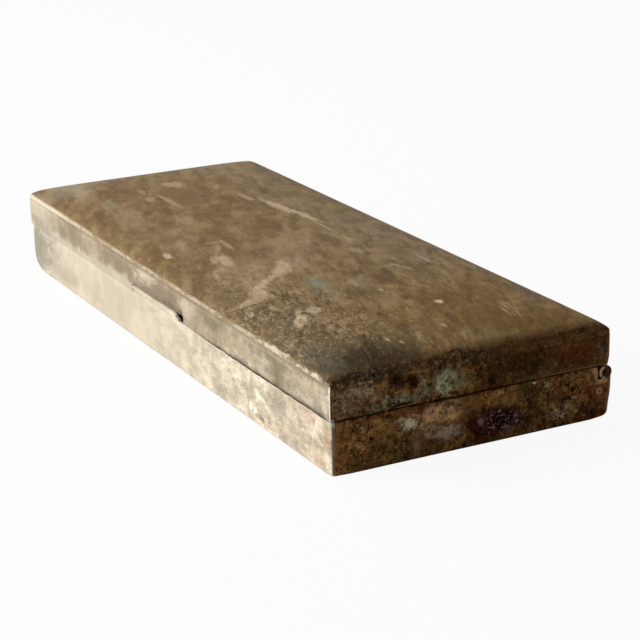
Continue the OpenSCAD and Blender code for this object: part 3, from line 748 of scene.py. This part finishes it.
# The purple-black sore on the base's right end and the crystals in it
CRYSTAL_MARKS = (
    (5.8, 6.0, 8.6, 3.6, -5, (0.036, 0.006, 0.004), 0.75),
    (-1.6, 6.6, 1.6, 1.6, 0, (0.085, 0.010, 0.008), 0.80),
    (8.6, 5.9, 3.2, 2.3, 0, (0.010, 0.004, 0.003), 0.85),
    (1.3, 7.0, 0.8, 1.0, 0, (0.340, 0.200, 0.170), 0.70),
    (7.3, 8.8, 0.5, 0.4, 0, (0.400, 0.290, 0.250), 0.65),
    (12.4, 6.7, 0.6, 0.5, 0, DUSKY_ROSE, 0.60),
    (12.8, 5.0, 0.5, 0.4, 0, ROSE, 0.75),
    (9.0, 4.0, 0.8, 0.4, 0, DUSKY_ROSE, 0.60),
    (5.3, 4.5, 0.5, 0.4, 0, ROSE, 0.70),
    (28.5, 8.3, 1.9, 0.4, 10, BLACK, 0.90),
)


def end_finish(colours, body):
    """Heavily tarnished ends: brown crust with rust, olive bloom, pale patina and pits."""
    f = Finish("end_plate_" + body)
    colour, relief = crusty_tarnish(f, colours)
    marks = LID_END_MARKS if body == "lid" else BASE_END_MARKS
    colour = f.stains(colour, "end", marks, soft=0.50, ragged=1.5)
    # The left end, nearer the window, is filmed more evenly
    dull = (0.190, 0.138, 0.084)
    colour = f.tint(colour, dull, f.x.below(0.0, 1.0) * 0.6)
    colour = crusty_grain(f, colour)
    colour = f.tint(colour, dull, f.x.below(0.0, 1.0) * 0.5)
    sharp_marks = PIT_MARKS if body == "lid" else CRYSTAL_MARKS
    colour = f.stains(colour, "end", sharp_marks, soft=0.4, ragged=1.4)
    sore = f.spot("end", (7.5, 5.6, 7.0, 3.0, -5), soft=0.3, ragged=0.5, seed=23)
    crystals = f.grain(0.7, detail=2.0, rough=0.6, seed=7).above(0.58, 0.03) * sore
    colour = f.tint(colour, (0.370, 0.262, 0.235), crystals * 0.6)
    pored = f.spot("end", (-9, 8.5, 8.0, 4.5, 0), soft=0.4, ragged=0.5, seed=24)
    pores = f.specks(1.2, 0.24, seed=8, share=0.5) * pored
    colour = f.tint(colour, (0.110, 0.045, 0.030), pores * 0.8)
    from_ring = f.away("end", 39.6, 8.3, 1.0, 1.0, 0)
    ring = from_ring.below(1.05, 0.15) * from_ring.above(0.42, 0.14)
    colour = f.tint(colour, (0.470, 0.290, 0.160), ring * 0.9)
    # Painted shade, with some dirt, in the seam on the near part of the end
    ragged_seam = f.grain(2.2, detail=4.0, rough=0.65, seed=9, stretch=(1, 2, 1))
    seam = (abs(f.z - SEAM_Z) + (ragged_seam - 0.5) * 2.5).below(0.42, 0.25)
    colour = f.tint(colour, BLACK, seam * f.y.below(20.0, 14.0) * 0.8)
    rim = f.z.above(LID_RIM_Z + 0.1, 0.1) * f.z.below(LID_RIM_Z + 0.7, 0.2)
    colour = f.tint(colour, (0.200, 0.110, 0.045), rim * f.y.above(22.0, 4.0) * 0.6)
    # Painted shade along the foot of the end
    colour = f.tint(colour, BLACK, f.z.below(0.6, 0.6) * 0.6)
    relief = relief + crystals * 0.10 - pores * 0.06 + ring * 0.10
    return f.output(colour, metallic=0.0, roughness=0.75, relief=relief, gloss=0.02)


def inside_finish(colours):
    """Dull plate inside, out of the light: greyer, filmed and lightly wiped."""
    f = Finish("dull_inside_plate")
    cloud = f.grain(16.0, detail=5.0, rough=0.6, seed=1, stretch=(1.8, 1, 1), warp=0.4)
    fine = f.grain(1.2, detail=3.0, rough=0.6, seed=2)
    colour = f.tint(tuple(colours.inside_plate), (0.29, 0.24, 0.16), cloud.above(0.5, 0.14) * 0.8)
    long_wipes = f.scratches(26.0, 0.4, seed=4, turn=(0, 0, 12), share=0.6)
    short_wipes = f.scratches(20.0, 0.4, seed=5, turn=(0, 0, -20), share=0.5)
    colour = f.tint(colour, (0.60, 0.56, 0.47), (long_wipes + short_wipes) * 0.4)
    colour = f.tint(colour, (0.10, 0.08, 0.06), f.specks(6.0, 0.4, seed=3, share=0.4) * 0.6)
    colour = f.shade(colour, 0.92 + fine * 0.16)
    return f.output(colour, metallic=0.6, roughness=0.42 + cloud * 0.16,
                    relief=cloud * 0.06 + fine * 0.008, gloss=0.4)


# Bare metal where the plate is gone
COPPER = (0.430, 0.230, 0.105)
# The end of the hinge: worn metal of the trough and the knuckle, and a dark patch beside the knuckle
HINGE_END_MARKS = (
    (38.0, 14.2, 1.6, 0.9, -35, COPPER, 0.95),
    (38.7, 12.6, 0.9, 1.7, 18, COPPER, 0.95),
    (41.2, 11.0, 2.6, 0.75, 4, (0.400, 0.215, 0.085), 0.95),
    (40.3, 13.3, 1.1, 2.2, 0, (0.560, 0.380, 0.230), 0.95),
    (42.6, 13.6, 1.4, 2.2, 0, (0.060, 0.022, 0.012), 0.95),
)


def hinge_finish(colours):
    """Hinge tube and trough: plate rubbed through to dull brass, dirt in the gaps."""
    f = Finish("worn_hinge_metal")
    rubs = f.grain(5.0, detail=5.0, rough=0.6, seed=1, stretch=(4, 1, 1))
    grit = f.grain(0.8, detail=4.0, rough=0.7, seed=2)
    rubbed = rubs.above(0.52, 0.10) * 0.8
    colour = f.tint(tuple(colours.hinge_metal), (0.330, 0.240, 0.140), rubbed)
    colour = f.tint(colour, (0.050, 0.026, 0.012), rubs.below(0.40, 0.06) * 0.7)
    cut = abs(f.x).above(BASE_X - 0.15, 0.1)
    ends = f.stains((0.110, 0.048, 0.018), "end", HINGE_END_MARKS, soft=0.35, ragged=0.8)
    colour = f.tint(colour, ends, cut)
    colour = f.shade(colour, 0.60 + grit * 0.8)
    return f.output(colour, metallic=0.1, roughness=0.55 + rubs * 0.2,
                    relief=rubs * 0.03 + grit * 0.03, gloss=0.1)


def pin_finish():
    """Dark drawn wire with fine rings of rust."""
    f = Finish("rusty_pin_steel")
    bands = f.grain(1.5, detail=4.0, rough=0.6, seed=1, stretch=(1, 4, 4))
    colour = f.tint((0.10, 0.085, 0.07), (0.12, 0.05, 0.025), bands.above(0.55, 0.08) * 0.7)
    return f.output(colour, metallic=0.6, roughness=0.45 + bands * 0.2, relief=bands * 0.02)


def cedar_finish(colours, name, run, seed):
    """Straight-grained cedar: darker late wood in long lines along the board, fine pores."""
    f = Finish(name)
    stretch = {"x": (16, 1, 1), "y": (1, 16, 1)}[run]
    bands = f.grain(3.0, detail=2.0, rough=0.5, seed=seed, stretch=stretch, warp=0.5)
    lines = f.grain(0.9, detail=3.0, rough=0.6, seed=seed + 1, stretch=[v * 1.6 for v in stretch])
    pores = f.grain(0.28, detail=2.0, rough=0.5, seed=seed + 2, stretch=[v * 0.9 for v in stretch])
    broad = f.grain(40.0, detail=3.0, rough=0.5, seed=seed + 3)
    colour = f.tint(tuple(colours.cedar), (0.21, 0.083, 0.034), bands.above(0.52, 0.10) * 0.6)
    colour = f.tint(colour, (0.50, 0.27, 0.13), lines.above(0.56, 0.08) * 0.45)
    colour = f.tint(colour, (0.13, 0.055, 0.025), pores.above(0.62, 0.05) * 0.5)
    colour = f.shade(colour, 0.84 + broad * 0.32)
    return f.output(colour, metallic=0.0, roughness=0.62 + lines * 0.16, relief=lines * 0.05 - pores * 0.04)


def wander(place, size, seed):
    """Smooth value from about -1 to 1 at a place in millimetres."""
    return noise.noise(place / size + Vector((seed, 3.1 * seed, -seed)))


def rise(value, start, end):
    """Rises smoothly from 0 at start to 1 at end."""
    t = min(1.0, max(0.0, (value - start) / (end - start)))
    return t * t * (3 - 2 * t)


def wavy(place, waviness):
    """Sheets wander across their own thickness alone, and hardly at all near the hinge."""
    moved = place.copy()
    if abs(place.x) > BASE_X - 2.0:
        calm = rise(place.y, BASE_Y - 8.0, BASE_Y - 22.0) * rise(place.z, SEAT_Z, SEAT_Z - 4.0)
        own_seed = 1.0 + (place.x > 0)
        moved.x += calm * waviness * wander(Vector((0, place.y, place.z)), size=22.0, seed=own_seed)
    if place.y < -BASE_Y + 2.0:
        seated = rise(place.z, SEAT_Z, SEAT_Z - 4.0)
        moved.y += seated * waviness * wander(Vector((place.x, 0, place.z)), size=26.0, seed=4.0)
    # The rims along the seam are a little uneven
    rim = rise(abs(place.z - SEAM_Z), 1.2, 0.4) * rise(place.y, BASE_Y - 8.0, BASE_Y - 16.0)
    moved.z += 0.13 * rim * wander(Vector((place.x, place.y, 0)), size=5.0, seed=12.0 + (place.z > SEAM_Z))
    return moved


def knocked_base(place, waviness):
    """Where a point of the base or its lining has moved to, from hand work and from knocks."""
    moved = wavy(place, waviness)
    # The left front corner is squeezed in, and its foot is bent up in a long curve
    front = rise(place.y, -BASE_Y + 34.0, -BASE_Y + 8.0)
    moved.y += 0.6 * front * rise(place.x, -BASE_X + 13.0, -BASE_X)
    long, tall = 8.0, 6.8
    along = min(1.0, max(0.0, (long - BASE_X - place.x) / long))
    down = min(1.0, max(0.0, (tall - place.z) / tall))
    moved.x += front * long * along * (1 - math.sqrt(1 - down * down / 2))
    moved.z += front * tall * down * (1 - math.sqrt(1 - along * along / 2))
    # The foot of the right front corner is knocked up
    low = rise(place.z, 3.5, 0.0) * rise(place.x, BASE_X - 3.0, BASE_X)
    moved.z += 0.25 * low * rise(place.y, -BASE_Y + 7.0, -BASE_Y)
    # The foot of the back is pressed in
    moved.y -= 0.9 * rise(place.z, 10.0, 1.0) * rise(place.y, BASE_Y - 9.0, BASE_Y - 1.0)
    moved.z += 0.4 * rise(place.y, BASE_Y - 7.0, BASE_Y) * rise(place.z, 4.0, 0.0)
    # A blister low on the front
    away = Vector(((place.x - 65.6) / 4.4, (place.y + BASE_Y) / 1.0, (place.z - 4.0) / 1.7)).length
    moved.y -= 0.45 * rise(away, 1.0, 0.3)
    return moved


def knocked_lid(place, waviness):
    """Where a point of the lid's sides has moved to. The rim sags on the left of the front."""
    moved = wavy(place, waviness)
    if place.y < 0:
        moved.z -= 0.20 * rise(place.x, 16.0, -20.0) * rise(place.z, LID_RIM_Z + 3.0, LID_RIM_Z)
        # The left front corner leans in towards its rim
        corner = rise(place.x, -BASE_X + 14.0, -BASE_X) * rise(place.y, -BASE_Y + 20.0, -BASE_Y)
        moved.y += 0.3 * corner * rise(place.z, SEAT_Z, LID_RIM_Z)
    # Pits eaten into the right end
    if place.x > LID_X - 0.4:
        for y, z, radius in ((-24.0, 23.2, 2.0), (-19.8, 22.4, 1.8), (4.4, 17.7, 1.2)):
            moved.x -= 0.45 * rise(math.hypot(place.y - y, place.z - z), radius, radius * 0.4)
    return moved


def torn_lip(place, waviness):
    """The thumb lip follows the base. Its right end is torn short and bent out."""
    torn_length, part_left = 7.5, 0.57
    torn_x = LIP_HIGH.x - torn_length
    moved = knocked_base(place, waviness)
    if place.x > torn_x:
        moved.x = torn_x + (place.x - torn_x) * part_left
    high = rise(place.z, RIM_Z, LIP_HIGH.z)
    moved.y -= 0.45 * high * rise(place.x, torn_x - 2.0, LIP_HIGH.x)
    moved.z -= 0.25 * high * rise(place.x, torn_x + 2.0, LIP_HIGH.x)
    return moved


def add_mesh(name, mesh):
    """Links a new object for a mesh that is written in the frame's own metres."""
    made = bpy.data.objects.new(name, mesh)
    bpy.context.scene.collection.objects.link(made)
    return made


def ease_edges(piece, width, segments=3):
    """Rounds the sharp edges of a piece by a modifier and shades it smooth."""
    for face in piece.data.polygons:
        face.use_smooth = True
    bevel = piece.modifiers.new("eased_edges", "BEVEL")
    bevel.width = width
    bevel.segments = segments
    bevel.limit_method = "ANGLE"
    bevel.angle_limit = math.radians(35)
    bevel.harden_normals = True
    bevel.use_clamp_overlap = True
    return bevel


def keep_seat_sharp(mesh, bevel):
    """Leaves the edges where a lid's side carries the top out of the rounding."""
    work = bmesh.new()
    work.from_mesh(mesh)
    weights = work.edges.layers.float.new("bevel_weight_edge")
    for edge in work.edges:
        seated = all(abs(v.co.z / MM - SEAT_Z) < 0.05 for v in edge.verts)
        sharp = len(edge.link_faces) == 2 and edge.calc_face_angle() > math.radians(35)
        edge[weights] = 1.0 if sharp and not seated else 0.0
    work.to_mesh(mesh)
    work.free()
    bevel.limit_method = "WEIGHT"


def slice_mesh(work, low, high, step):
    """Cuts a mesh by planes a step apart, so that a flat sheet can bend."""
    for axis in range(3):
        normal = Vector((0, 0, 0))
        normal[axis] = 1.0
        count = int((high[axis] - low[axis]) / step)
        for k in range(1, count):
            at = Vector((0, 0, 0))
            at[axis] = low[axis] + (high[axis] - low[axis]) * k / count
            geometry = work.verts[:] + work.edges[:] + work.faces[:]
            bmesh.ops.bisect_plane(work, geom=geometry, dist=1e-7, plane_co=at, plane_no=normal)


def worn_copy(node, sizes, knock, step=1.6):
    """A new piece in the shape of a solid, with its flats divided and gently knocked about."""
    work = bmesh.new()
    work.from_mesh(NODES[node].data)
    bmesh.ops.remove_doubles(work, verts=work.verts, dist=1e-6)
    bmesh.ops.dissolve_limit(work, angle_limit=math.radians(1), verts=work.verts, edges=work.edges)
    low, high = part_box(node)
    slice_mesh(work, low, high, step * MM)
    for vertex in work.verts:
        vertex.co = knock(vertex.co / MM, sizes.waviness / MM) * MM
    bmesh.ops.recalc_face_normals(work, faces=work.faces)
    mesh = bpy.data.meshes.new(node + "_worn")
    work.to_mesh(mesh)
    work.free()
    return add_mesh(node + "_worn", mesh)


def stand_for(piece, node, body):
    """Makes a piece ride on its body in place of a solid, and hides that solid."""
    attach(piece, body)
    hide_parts(node)
    return piece


def dress(piece, materials, choose=None):
    """Gives a piece its materials. Choose tells each face's place in the list from its centre."""
    piece.data.materials.clear()
    for material in materials:
        piece.data.materials.append(material)
    if choose:
        for face in piece.data.polygons:
            face.material_index = choose(face)


def made_once(name):
    """The finish of that name if another step has made it, otherwise nothing. No finish has the
    name of a slot, because the solids' own plain materials have those."""
    return bpy.data.materials.get(name)


def faces_inward(face):
    """1 for a face of a side sheet that looks into the box, otherwise 0."""
    centre, normal = face.center / MM, face.normal
    inner_x = abs(centre.x) < BASE_X - 0.5 * SHEET and centre.x * normal.x < -0.5 * abs(centre.x)
    inner_y = abs(centre.y) < BASE_Y - 0.5 * SHEET and centre.y * normal.y < -0.5 * abs(centre.y)
    return 1 if inner_x or inner_y else 0


def sheet_metal(node, materials, sizes):
    """Replaces a side sheet by its worn copy: tarnished outside, duller plate inside."""
    body = "lid" if node.startswith("lid") else "base"
    piece = worn_copy(node, sizes, knocked_lid if body == "lid" else knocked_base)
    dress(piece, materials, faces_inward)
    bevel = ease_edges(piece, sizes.edge_wear)
    if body == "lid":
        keep_seat_sharp(piece.data, bevel)
    return stand_for(piece, node, body)


def inward_steps(half, first=0.12, growth=1.18, widest=2.6):
    """Distances from the edge of the dome to its middle: close together at the edge."""
    lines, step = [0.0], first
    while lines[-1] < half:
        lines.append(lines[-1] + step)
        step = min(step * growth, widest)
    return [d * half / lines[-1] for d in lines]


def net_lines(half):
    """Lines of the dome's net across one direction."""
    inward = inward_steps(half)
    return [d - half for d in inward] + [half - d for d in reversed(inward[:-1])]


def edge_distance(x, y, half_x, half_y):
    """Distance to the nearest edges of the top, blended where two edges meet."""
    dx, dy = half_x - abs(x), half_y - abs(y)
    return 0.0 if dx <= 0 or dy <= 0 else dx * dy / math.hypot(dx, dy)


def round_corner(x, y, half_x, half_y, radius):
    """Moves a point of the net in from a square corner to a round one."""
    a = (abs(x) - (half_x - radius)) / radius
    b = (abs(y) - (half_y - radius)) / radius
    if a <= 0 or b <= 0:
        return x, y
    new_x = half_x - radius + radius * a * math.sqrt(1 - b * b / 2)
    new_y = half_y - radius + radius * b * math.sqrt(1 - a * a / 2)
    return math.copysign(new_x, x), math.copysign(new_y, y)


def dome_mesh(sizes):
    """The domed sheet: softly folded edge, smooth swell, faint hammered hollows, even thickness."""
    fold, corner, lowered = 0.35, 0.8, 0.12
    edge_z = SEAT_Z + sizes.top_sheet / MM
    bend_rise, bend_roll = sizes.bend_rise / MM, sizes.bend_roll / MM
    dome_rise, dome_roll = TOP_HIGH.z - edge_z - bend_rise, sizes.dome_roll / MM

    def swell(x, y, inset):
        """Rise of the dome at a point, for a surface whose rim lies inset from the edge."""
        d = edge_distance(x, y, LID_X - inset, LID_HALF_Y - inset)
        return bend_rise * (1 - math.exp(-d / bend_roll)) + dome_rise * (1 - math.exp(-d / dome_roll))

    def fold_drop(x, y):
        """How far the folded edge lies below the dome."""
        away = max(0.0, min(LID_X - abs(x), LID_HALF_Y - abs(y), fold))
        return fold - math.sqrt(fold * fold - (fold - away) ** 2)

    xs, ys = net_lines(LID_X), net_lines(LID_HALF_Y)
    work = bmesh.new()
    upper, lower = {}, {}
    for i, x in enumerate(xs):
        for j, y in enumerate(ys):
            px, py = round_corner(x, y, LID_X, LID_HALF_Y, corner)
            py += LID_MID_Y
            inside = min(1.0, edge_distance(x, y, LID_X, LID_HALF_Y) / 12.0)
            flat = Vector((x, y, 0))
            hollow = 0.14 * wander(flat, size=34.0, seed=7.0) + 0.04 * wander(flat, size=11.0, seed=9.0)
            sag = inside * (hollow - lowered)
            top = edge_z + swell(x, y, 0.0) - fold_drop(x, y) + sag
            upper[i, j] = work.verts.new(Vector((px, py, top)) * MM)
            lower[i, j] = work.verts.new(Vector((px, py, SEAT_Z + swell(x, y, SHEET) + sag)) * MM)
    last_i, last_j = len(xs) - 1, len(ys) - 1
    for i in range(last_i):
        for j in range(last_j):
            corners = ((i, j), (i + 1, j), (i + 1, j + 1), (i, j + 1))
            work.faces.new([upper[c] for c in corners])
            work.faces.new([lower[c] for c in reversed(corners)])
    rim = [(i, 0) for i in range(last_i)] + [(last_i, j) for j in range(last_j)]
    rim += [(i, last_j) for i in range(last_i, 0, -1)] + [(0, j) for j in range(last_j, 0, -1)]
    for a, b in zip(rim, rim[1:] + rim[:1]):
        work.faces.new((upper[b], upper[a], lower[a], lower[b]))
    mesh = bpy.data.meshes.new("lid_top_worn")
    work.to_mesh(mesh)
    work.free()
    return mesh


class TABLEBOX_OT_lid_top(bpy.types.Operator):
    """Make the domed top in place of its solid, tarnished above and plain plate below"""

    bl_idname = "table_box.lid_top"
    bl_label = "Domed Top"

    def execute(self, context):
        scene = context.scene
        piece = add_mesh("lid_top_worn", dome_mesh(scene.table_box_sizes))
        colours = scene.table_box_colours
        outside = [top_finish(colours, stretch) for stretch in TOP_STRETCHES]
        below = made_once("dull_inside_plate") or inside_finish(colours)
        rims = [side_finish(colours, "lid"), end_finish(colours, "lid")]
        first_rim = len(outside) + 1

        def material_of(face):
            """The stretch of the top that a face lies in, the plate below, or a cut edge."""
            if face.normal.z < -0.3:
                return len(outside)
            if face.normal.z < 0.1:
                return first_rim + (0 if abs(face.normal.y) > abs(face.normal.x) else 1)
            return sum(face.center.x / MM > high_x for _, high_x in TOP_STRETCHES.values())

        dress(piece, outside + [below] + rims, material_of)
        for face in piece.data.polygons:
            face.use_smooth = True
        piece.data.set_sharp_from_angle(angle=math.radians(50))
        stand_for(piece, "lid_top_plate", "lid")
        return {"FINISHED"}


class TABLEBOX_OT_side_sheets(bpy.types.Operator):
    """Dress the front and back sheets of the base and the lid, and the thumb lip"""

    bl_idname = "table_box.side_sheets"
    bl_label = "Front and Back Sheets"

    def execute(self, context):
        scene = context.scene
        sizes, colours = scene.table_box_sizes, scene.table_box_colours
        inside = made_once("dull_inside_plate") or inside_finish(colours)
        for body in ("base", "lid"):
            outside = made_once("side_plate_" + body) or side_finish(colours, body)
            for side in ("front", "back"):
                sheet_metal(f"{body}_{side}_wall", [outside, inside], sizes)
        lip = worn_copy("thumb_lip", sizes, torn_lip, step=0.7)
        dress(lip, [made_once("side_plate_base")])
        ease_edges(lip, sizes.edge_wear)
        stand_for(lip, "thumb_lip", "base")
        return {"FINISHED"}


class TABLEBOX_OT_end_sheets(bpy.types.Operator):
    """Dress the four end sheets in dark tarnish"""

    bl_idname = "table_box.end_sheets"
    bl_label = "End Sheets"

    def execute(self, context):
        scene = context.scene
        sizes, colours = scene.table_box_sizes, scene.table_box_colours
        inside = made_once("dull_inside_plate") or inside_finish(colours)
        for body in ("base", "lid"):
            outside = made_once("end_plate_" + body) or end_finish(colours, body)
            for side in ("left", "right"):
                sheet_metal(f"{body}_{side}_wall", [outside, inside], sizes)
        return {"FINISHED"}


class TABLEBOX_OT_bottom(bpy.types.Operator):
    """Dress the bottom sheet"""

    bl_idname = "table_box.bottom"
    bl_label = "Bottom Sheet"

    def execute(self, context):
        scene = context.scene
        plate = made_once("dull_inside_plate") or inside_finish(scene.table_box_colours)
        piece = worn_copy("bottom_plate", scene.table_box_sizes, knocked_base)
        dress(piece, [plate])
        ease_edges(piece, 0.05 * MM, segments=1)
        stand_for(piece, "bottom_plate", "base")
        return {"FINISHED"}


class TABLEBOX_OT_hinge(bpy.types.Operator):
    """Dress the hinge trough, the knuckles and the pin"""

    bl_idname = "table_box.hinge"
    bl_label = "Hinge"

    def execute(self, context):
        material = hinge_finish(context.scene.table_box_colours)
        for node in NODES:
            if "knuckle" in node or node == "hinge_trough":
                dress(NODES[node], [material])
                ease_edges(NODES[node], 0.12 * MM, segments=2)
        dress(NODES["hinge_pin"], [pin_finish()])
        ease_edges(NODES["hinge_pin"], 0.1 * MM, segments=2)
        return {"FINISHED"}


class TABLEBOX_OT_lining(bpy.types.Operator):
    """Dress the cedar boards, each with its grain along its length"""

    bl_idname = "table_box.lining"
    bl_label = "Cedar Lining"

    def execute(self, context):
        scene = context.scene
        colours = scene.table_box_colours
        runs = {"lining_floor": "x", "lining_front": "x", "lining_back": "x",
                "lining_left": "y", "lining_right": "y", "lining_divider": "y"}
        for seed, (node, run) in enumerate(runs.items()):
            board = worn_copy(node, scene.table_box_sizes, knocked_base)
            dress(board, [cedar_finish(colours, "cedar_" + node, run, 4 * seed)])
            ease_edges(board, 0.25 * MM, segments=3)
            stand_for(board, node, "base")
        return {"FINISHED"}


def seen_directly(tree):
    """1 for rays from the camera, in reflections and through glass, and 0 for rays of light."""
    path = tree.nodes.new("ShaderNodeLightPath")
    socket = path.outputs["Is Camera Ray"]
    for other in ("Is Glossy Ray", "Is Transmission Ray"):
        either = tree.nodes.new("ShaderNodeMath")
        either.operation = "MAXIMUM"
        tree.links.new(socket, either.inputs[0])
        tree.links.new(path.outputs[other], either.inputs[1])
        socket = either.outputs[0]
    return socket


def white_paper(camera_strength):
    """White that keeps soft shadows: mostly light of its own to the camera, plain paper to the rest."""
    material = bpy.data.materials.new("white_paper")
    material.use_nodes = True
    tree = material.node_tree
    tree.nodes.clear()
    paper = tree.nodes.new("ShaderNodeBsdfDiffuse")
    paper.inputs["Color"].default_value = (0.92, 0.92, 0.92, 1)
    glow = tree.nodes.new("ShaderNodeEmission")
    glow.inputs["Color"].default_value = (1, 1, 1, 1)
    part = tree.nodes.new("ShaderNodeMath")
    part.operation = "MULTIPLY"
    part.inputs[1].default_value = camera_strength
    tree.links.new(seen_directly(tree), part.inputs[0])
    mix = tree.nodes.new("ShaderNodeMixShader")
    tree.links.new(part.outputs[0], mix.inputs[0])
    tree.links.new(paper.outputs[0], mix.inputs[1])
    tree.links.new(glow.outputs[0], mix.inputs[2])
    end = tree.nodes.new("ShaderNodeOutputMaterial")
    tree.links.new(mix.outputs[0], end.inputs["Surface"])
    return material


def white_world(level):
    """Even white surroundings: full white to the camera and in reflections, a soft level as light."""
    world = bpy.data.worlds.new("white_room")
    world.use_nodes = True
    tree = world.node_tree
    tree.nodes.clear()
    strength = tree.nodes.new("ShaderNodeMapRange")
    tree.links.new(seen_directly(tree), strength.inputs["Value"])
    strength.inputs["To Min"].default_value = level
    strength.inputs["To Max"].default_value = 1.0
    background = tree.nodes.new("ShaderNodeBackground")
    tree.links.new(strength.outputs[0], background.inputs["Strength"])
    end = tree.nodes.new("ShaderNodeOutputWorld")
    tree.links.new(background.outputs[0], end.inputs["Surface"])
    return world


def add_lamp(name, place, aim, size, power):
    """A square soft lamp at a place, turned to its aim, all in metres."""
    lamp = bpy.data.lights.new(name, "AREA")
    lamp.shape = "SQUARE"
    lamp.size = size
    lamp.energy = power
    made = bpy.data.objects.new(name, lamp)
    made.location = place
    made.rotation_mode = "QUATERNION"
    made.rotation_quaternion = (Vector(aim) - Vector(place)).to_track_quat("-Z", "Y")
    bpy.context.scene.collection.objects.link(made)
    return made


def add_camera(azimuth, elevation, roll, distance, focus_pixels, target):
    """Camera by its angles round the box. The focal length is given in pixels of a 640 frame."""
    a, e, r = (math.radians(v) for v in (azimuth, elevation, roll))
    back = Vector((math.sin(a) * math.cos(e), -math.cos(a) * math.cos(e), math.sin(e)))
    right = Vector((math.cos(a), math.sin(a), 0))
    up = back.cross(right)
    turned_right = right * math.cos(r) + up * math.sin(r)
    turned_up = up * math.cos(r) - right * math.sin(r)
    camera = bpy.data.cameras.new("camera")
    camera.sensor_width = 36.0
    camera.lens = focus_pixels * camera.sensor_width / 640
    camera.clip_start, camera.clip_end = 0.01, 20.0
    made = bpy.data.objects.new("camera", camera)
    place = Vector(target) + back * distance
    basis = Matrix((turned_right, turned_up, back)).transposed().to_4x4()
    made.matrix_world = Matrix.Translation(place) @ basis
    bpy.context.scene.collection.objects.link(made)
    bpy.context.scene.camera = made
    return made


class TABLEBOX_OT_stage(bpy.types.Operator):
    """Make the floor, the lamp, the white surroundings and the camera"""

    bl_idname = "table_box.stage"
    bl_label = "Stage"

    def execute(self, context):
        scene = context.scene
        scene.view_settings.view_transform = "Standard"
        add_camera(azimuth=62.40, elevation=18.40, roll=-1.07, distance=0.625,
                   focus_pixels=1963, target=(-0.0057, 0.0144, 0))
        work = bmesh.new()
        bmesh.ops.create_grid(work, x_segments=1, y_segments=1, size=6.0)
        mesh = bpy.data.meshes.new("floor")
        work.to_mesh(mesh)
        work.free()
        floor = add_mesh("floor", mesh)
        # Just clear of the underside, so that the two don't fight
        floor.location.z = -0.02 * MM
        dress(floor, [white_paper(camera_strength=0.93)])
        scene.world = white_world(level=0.28)
        add_lamp("window", place=(-0.60, -0.95, 0.75), aim=(0, 0, 0.01), size=0.6, power=17.0)
        return {"FINISHED"}


class TABLEBOX_PT_panel(bpy.types.Panel):
    """Lists the steps that dress the table box"""

    bl_idname = "TABLEBOX_PT_panel"
    bl_label = "Table Box"
    bl_space_type = "VIEW_3D"
    bl_region_type = "UI"
    bl_category = "Table Box"

    def draw(self, context):
        for group in (context.scene.table_box_sizes, context.scene.table_box_colours):
            for name in group.__annotations__:
                self.layout.prop(group, name)
        for step in STEPS:
            self.layout.operator(step.bl_idname)


STEPS = (TABLEBOX_OT_stage, TABLEBOX_OT_lid_top, TABLEBOX_OT_side_sheets, TABLEBOX_OT_end_sheets,
         TABLEBOX_OT_bottom, TABLEBOX_OT_hinge, TABLEBOX_OT_lining)
CLASSES = (BoxSizes, BoxColours, *STEPS, TABLEBOX_PT_panel)


def register():
    """Makes the classes known, and hangs the sizes and colours on the scene."""
    for entry in CLASSES:
        bpy.utils.register_class(entry)
    bpy.types.Scene.table_box_sizes = bpy.props.PointerProperty(type=BoxSizes)
    bpy.types.Scene.table_box_colours = bpy.props.PointerProperty(type=BoxColours)


def unregister():
    """Takes back what register did."""
    del bpy.types.Scene.table_box_colours
    del bpy.types.Scene.table_box_sizes
    for entry in reversed(CLASSES):
        bpy.utils.unregister_class(entry)


def main():
    """Runs every step in order."""
    register()
    for step in STEPS:
        group, name = step.bl_idname.split(".")
        getattr(getattr(bpy.ops, group), name)()


if __name__ == "__main__":
    main()
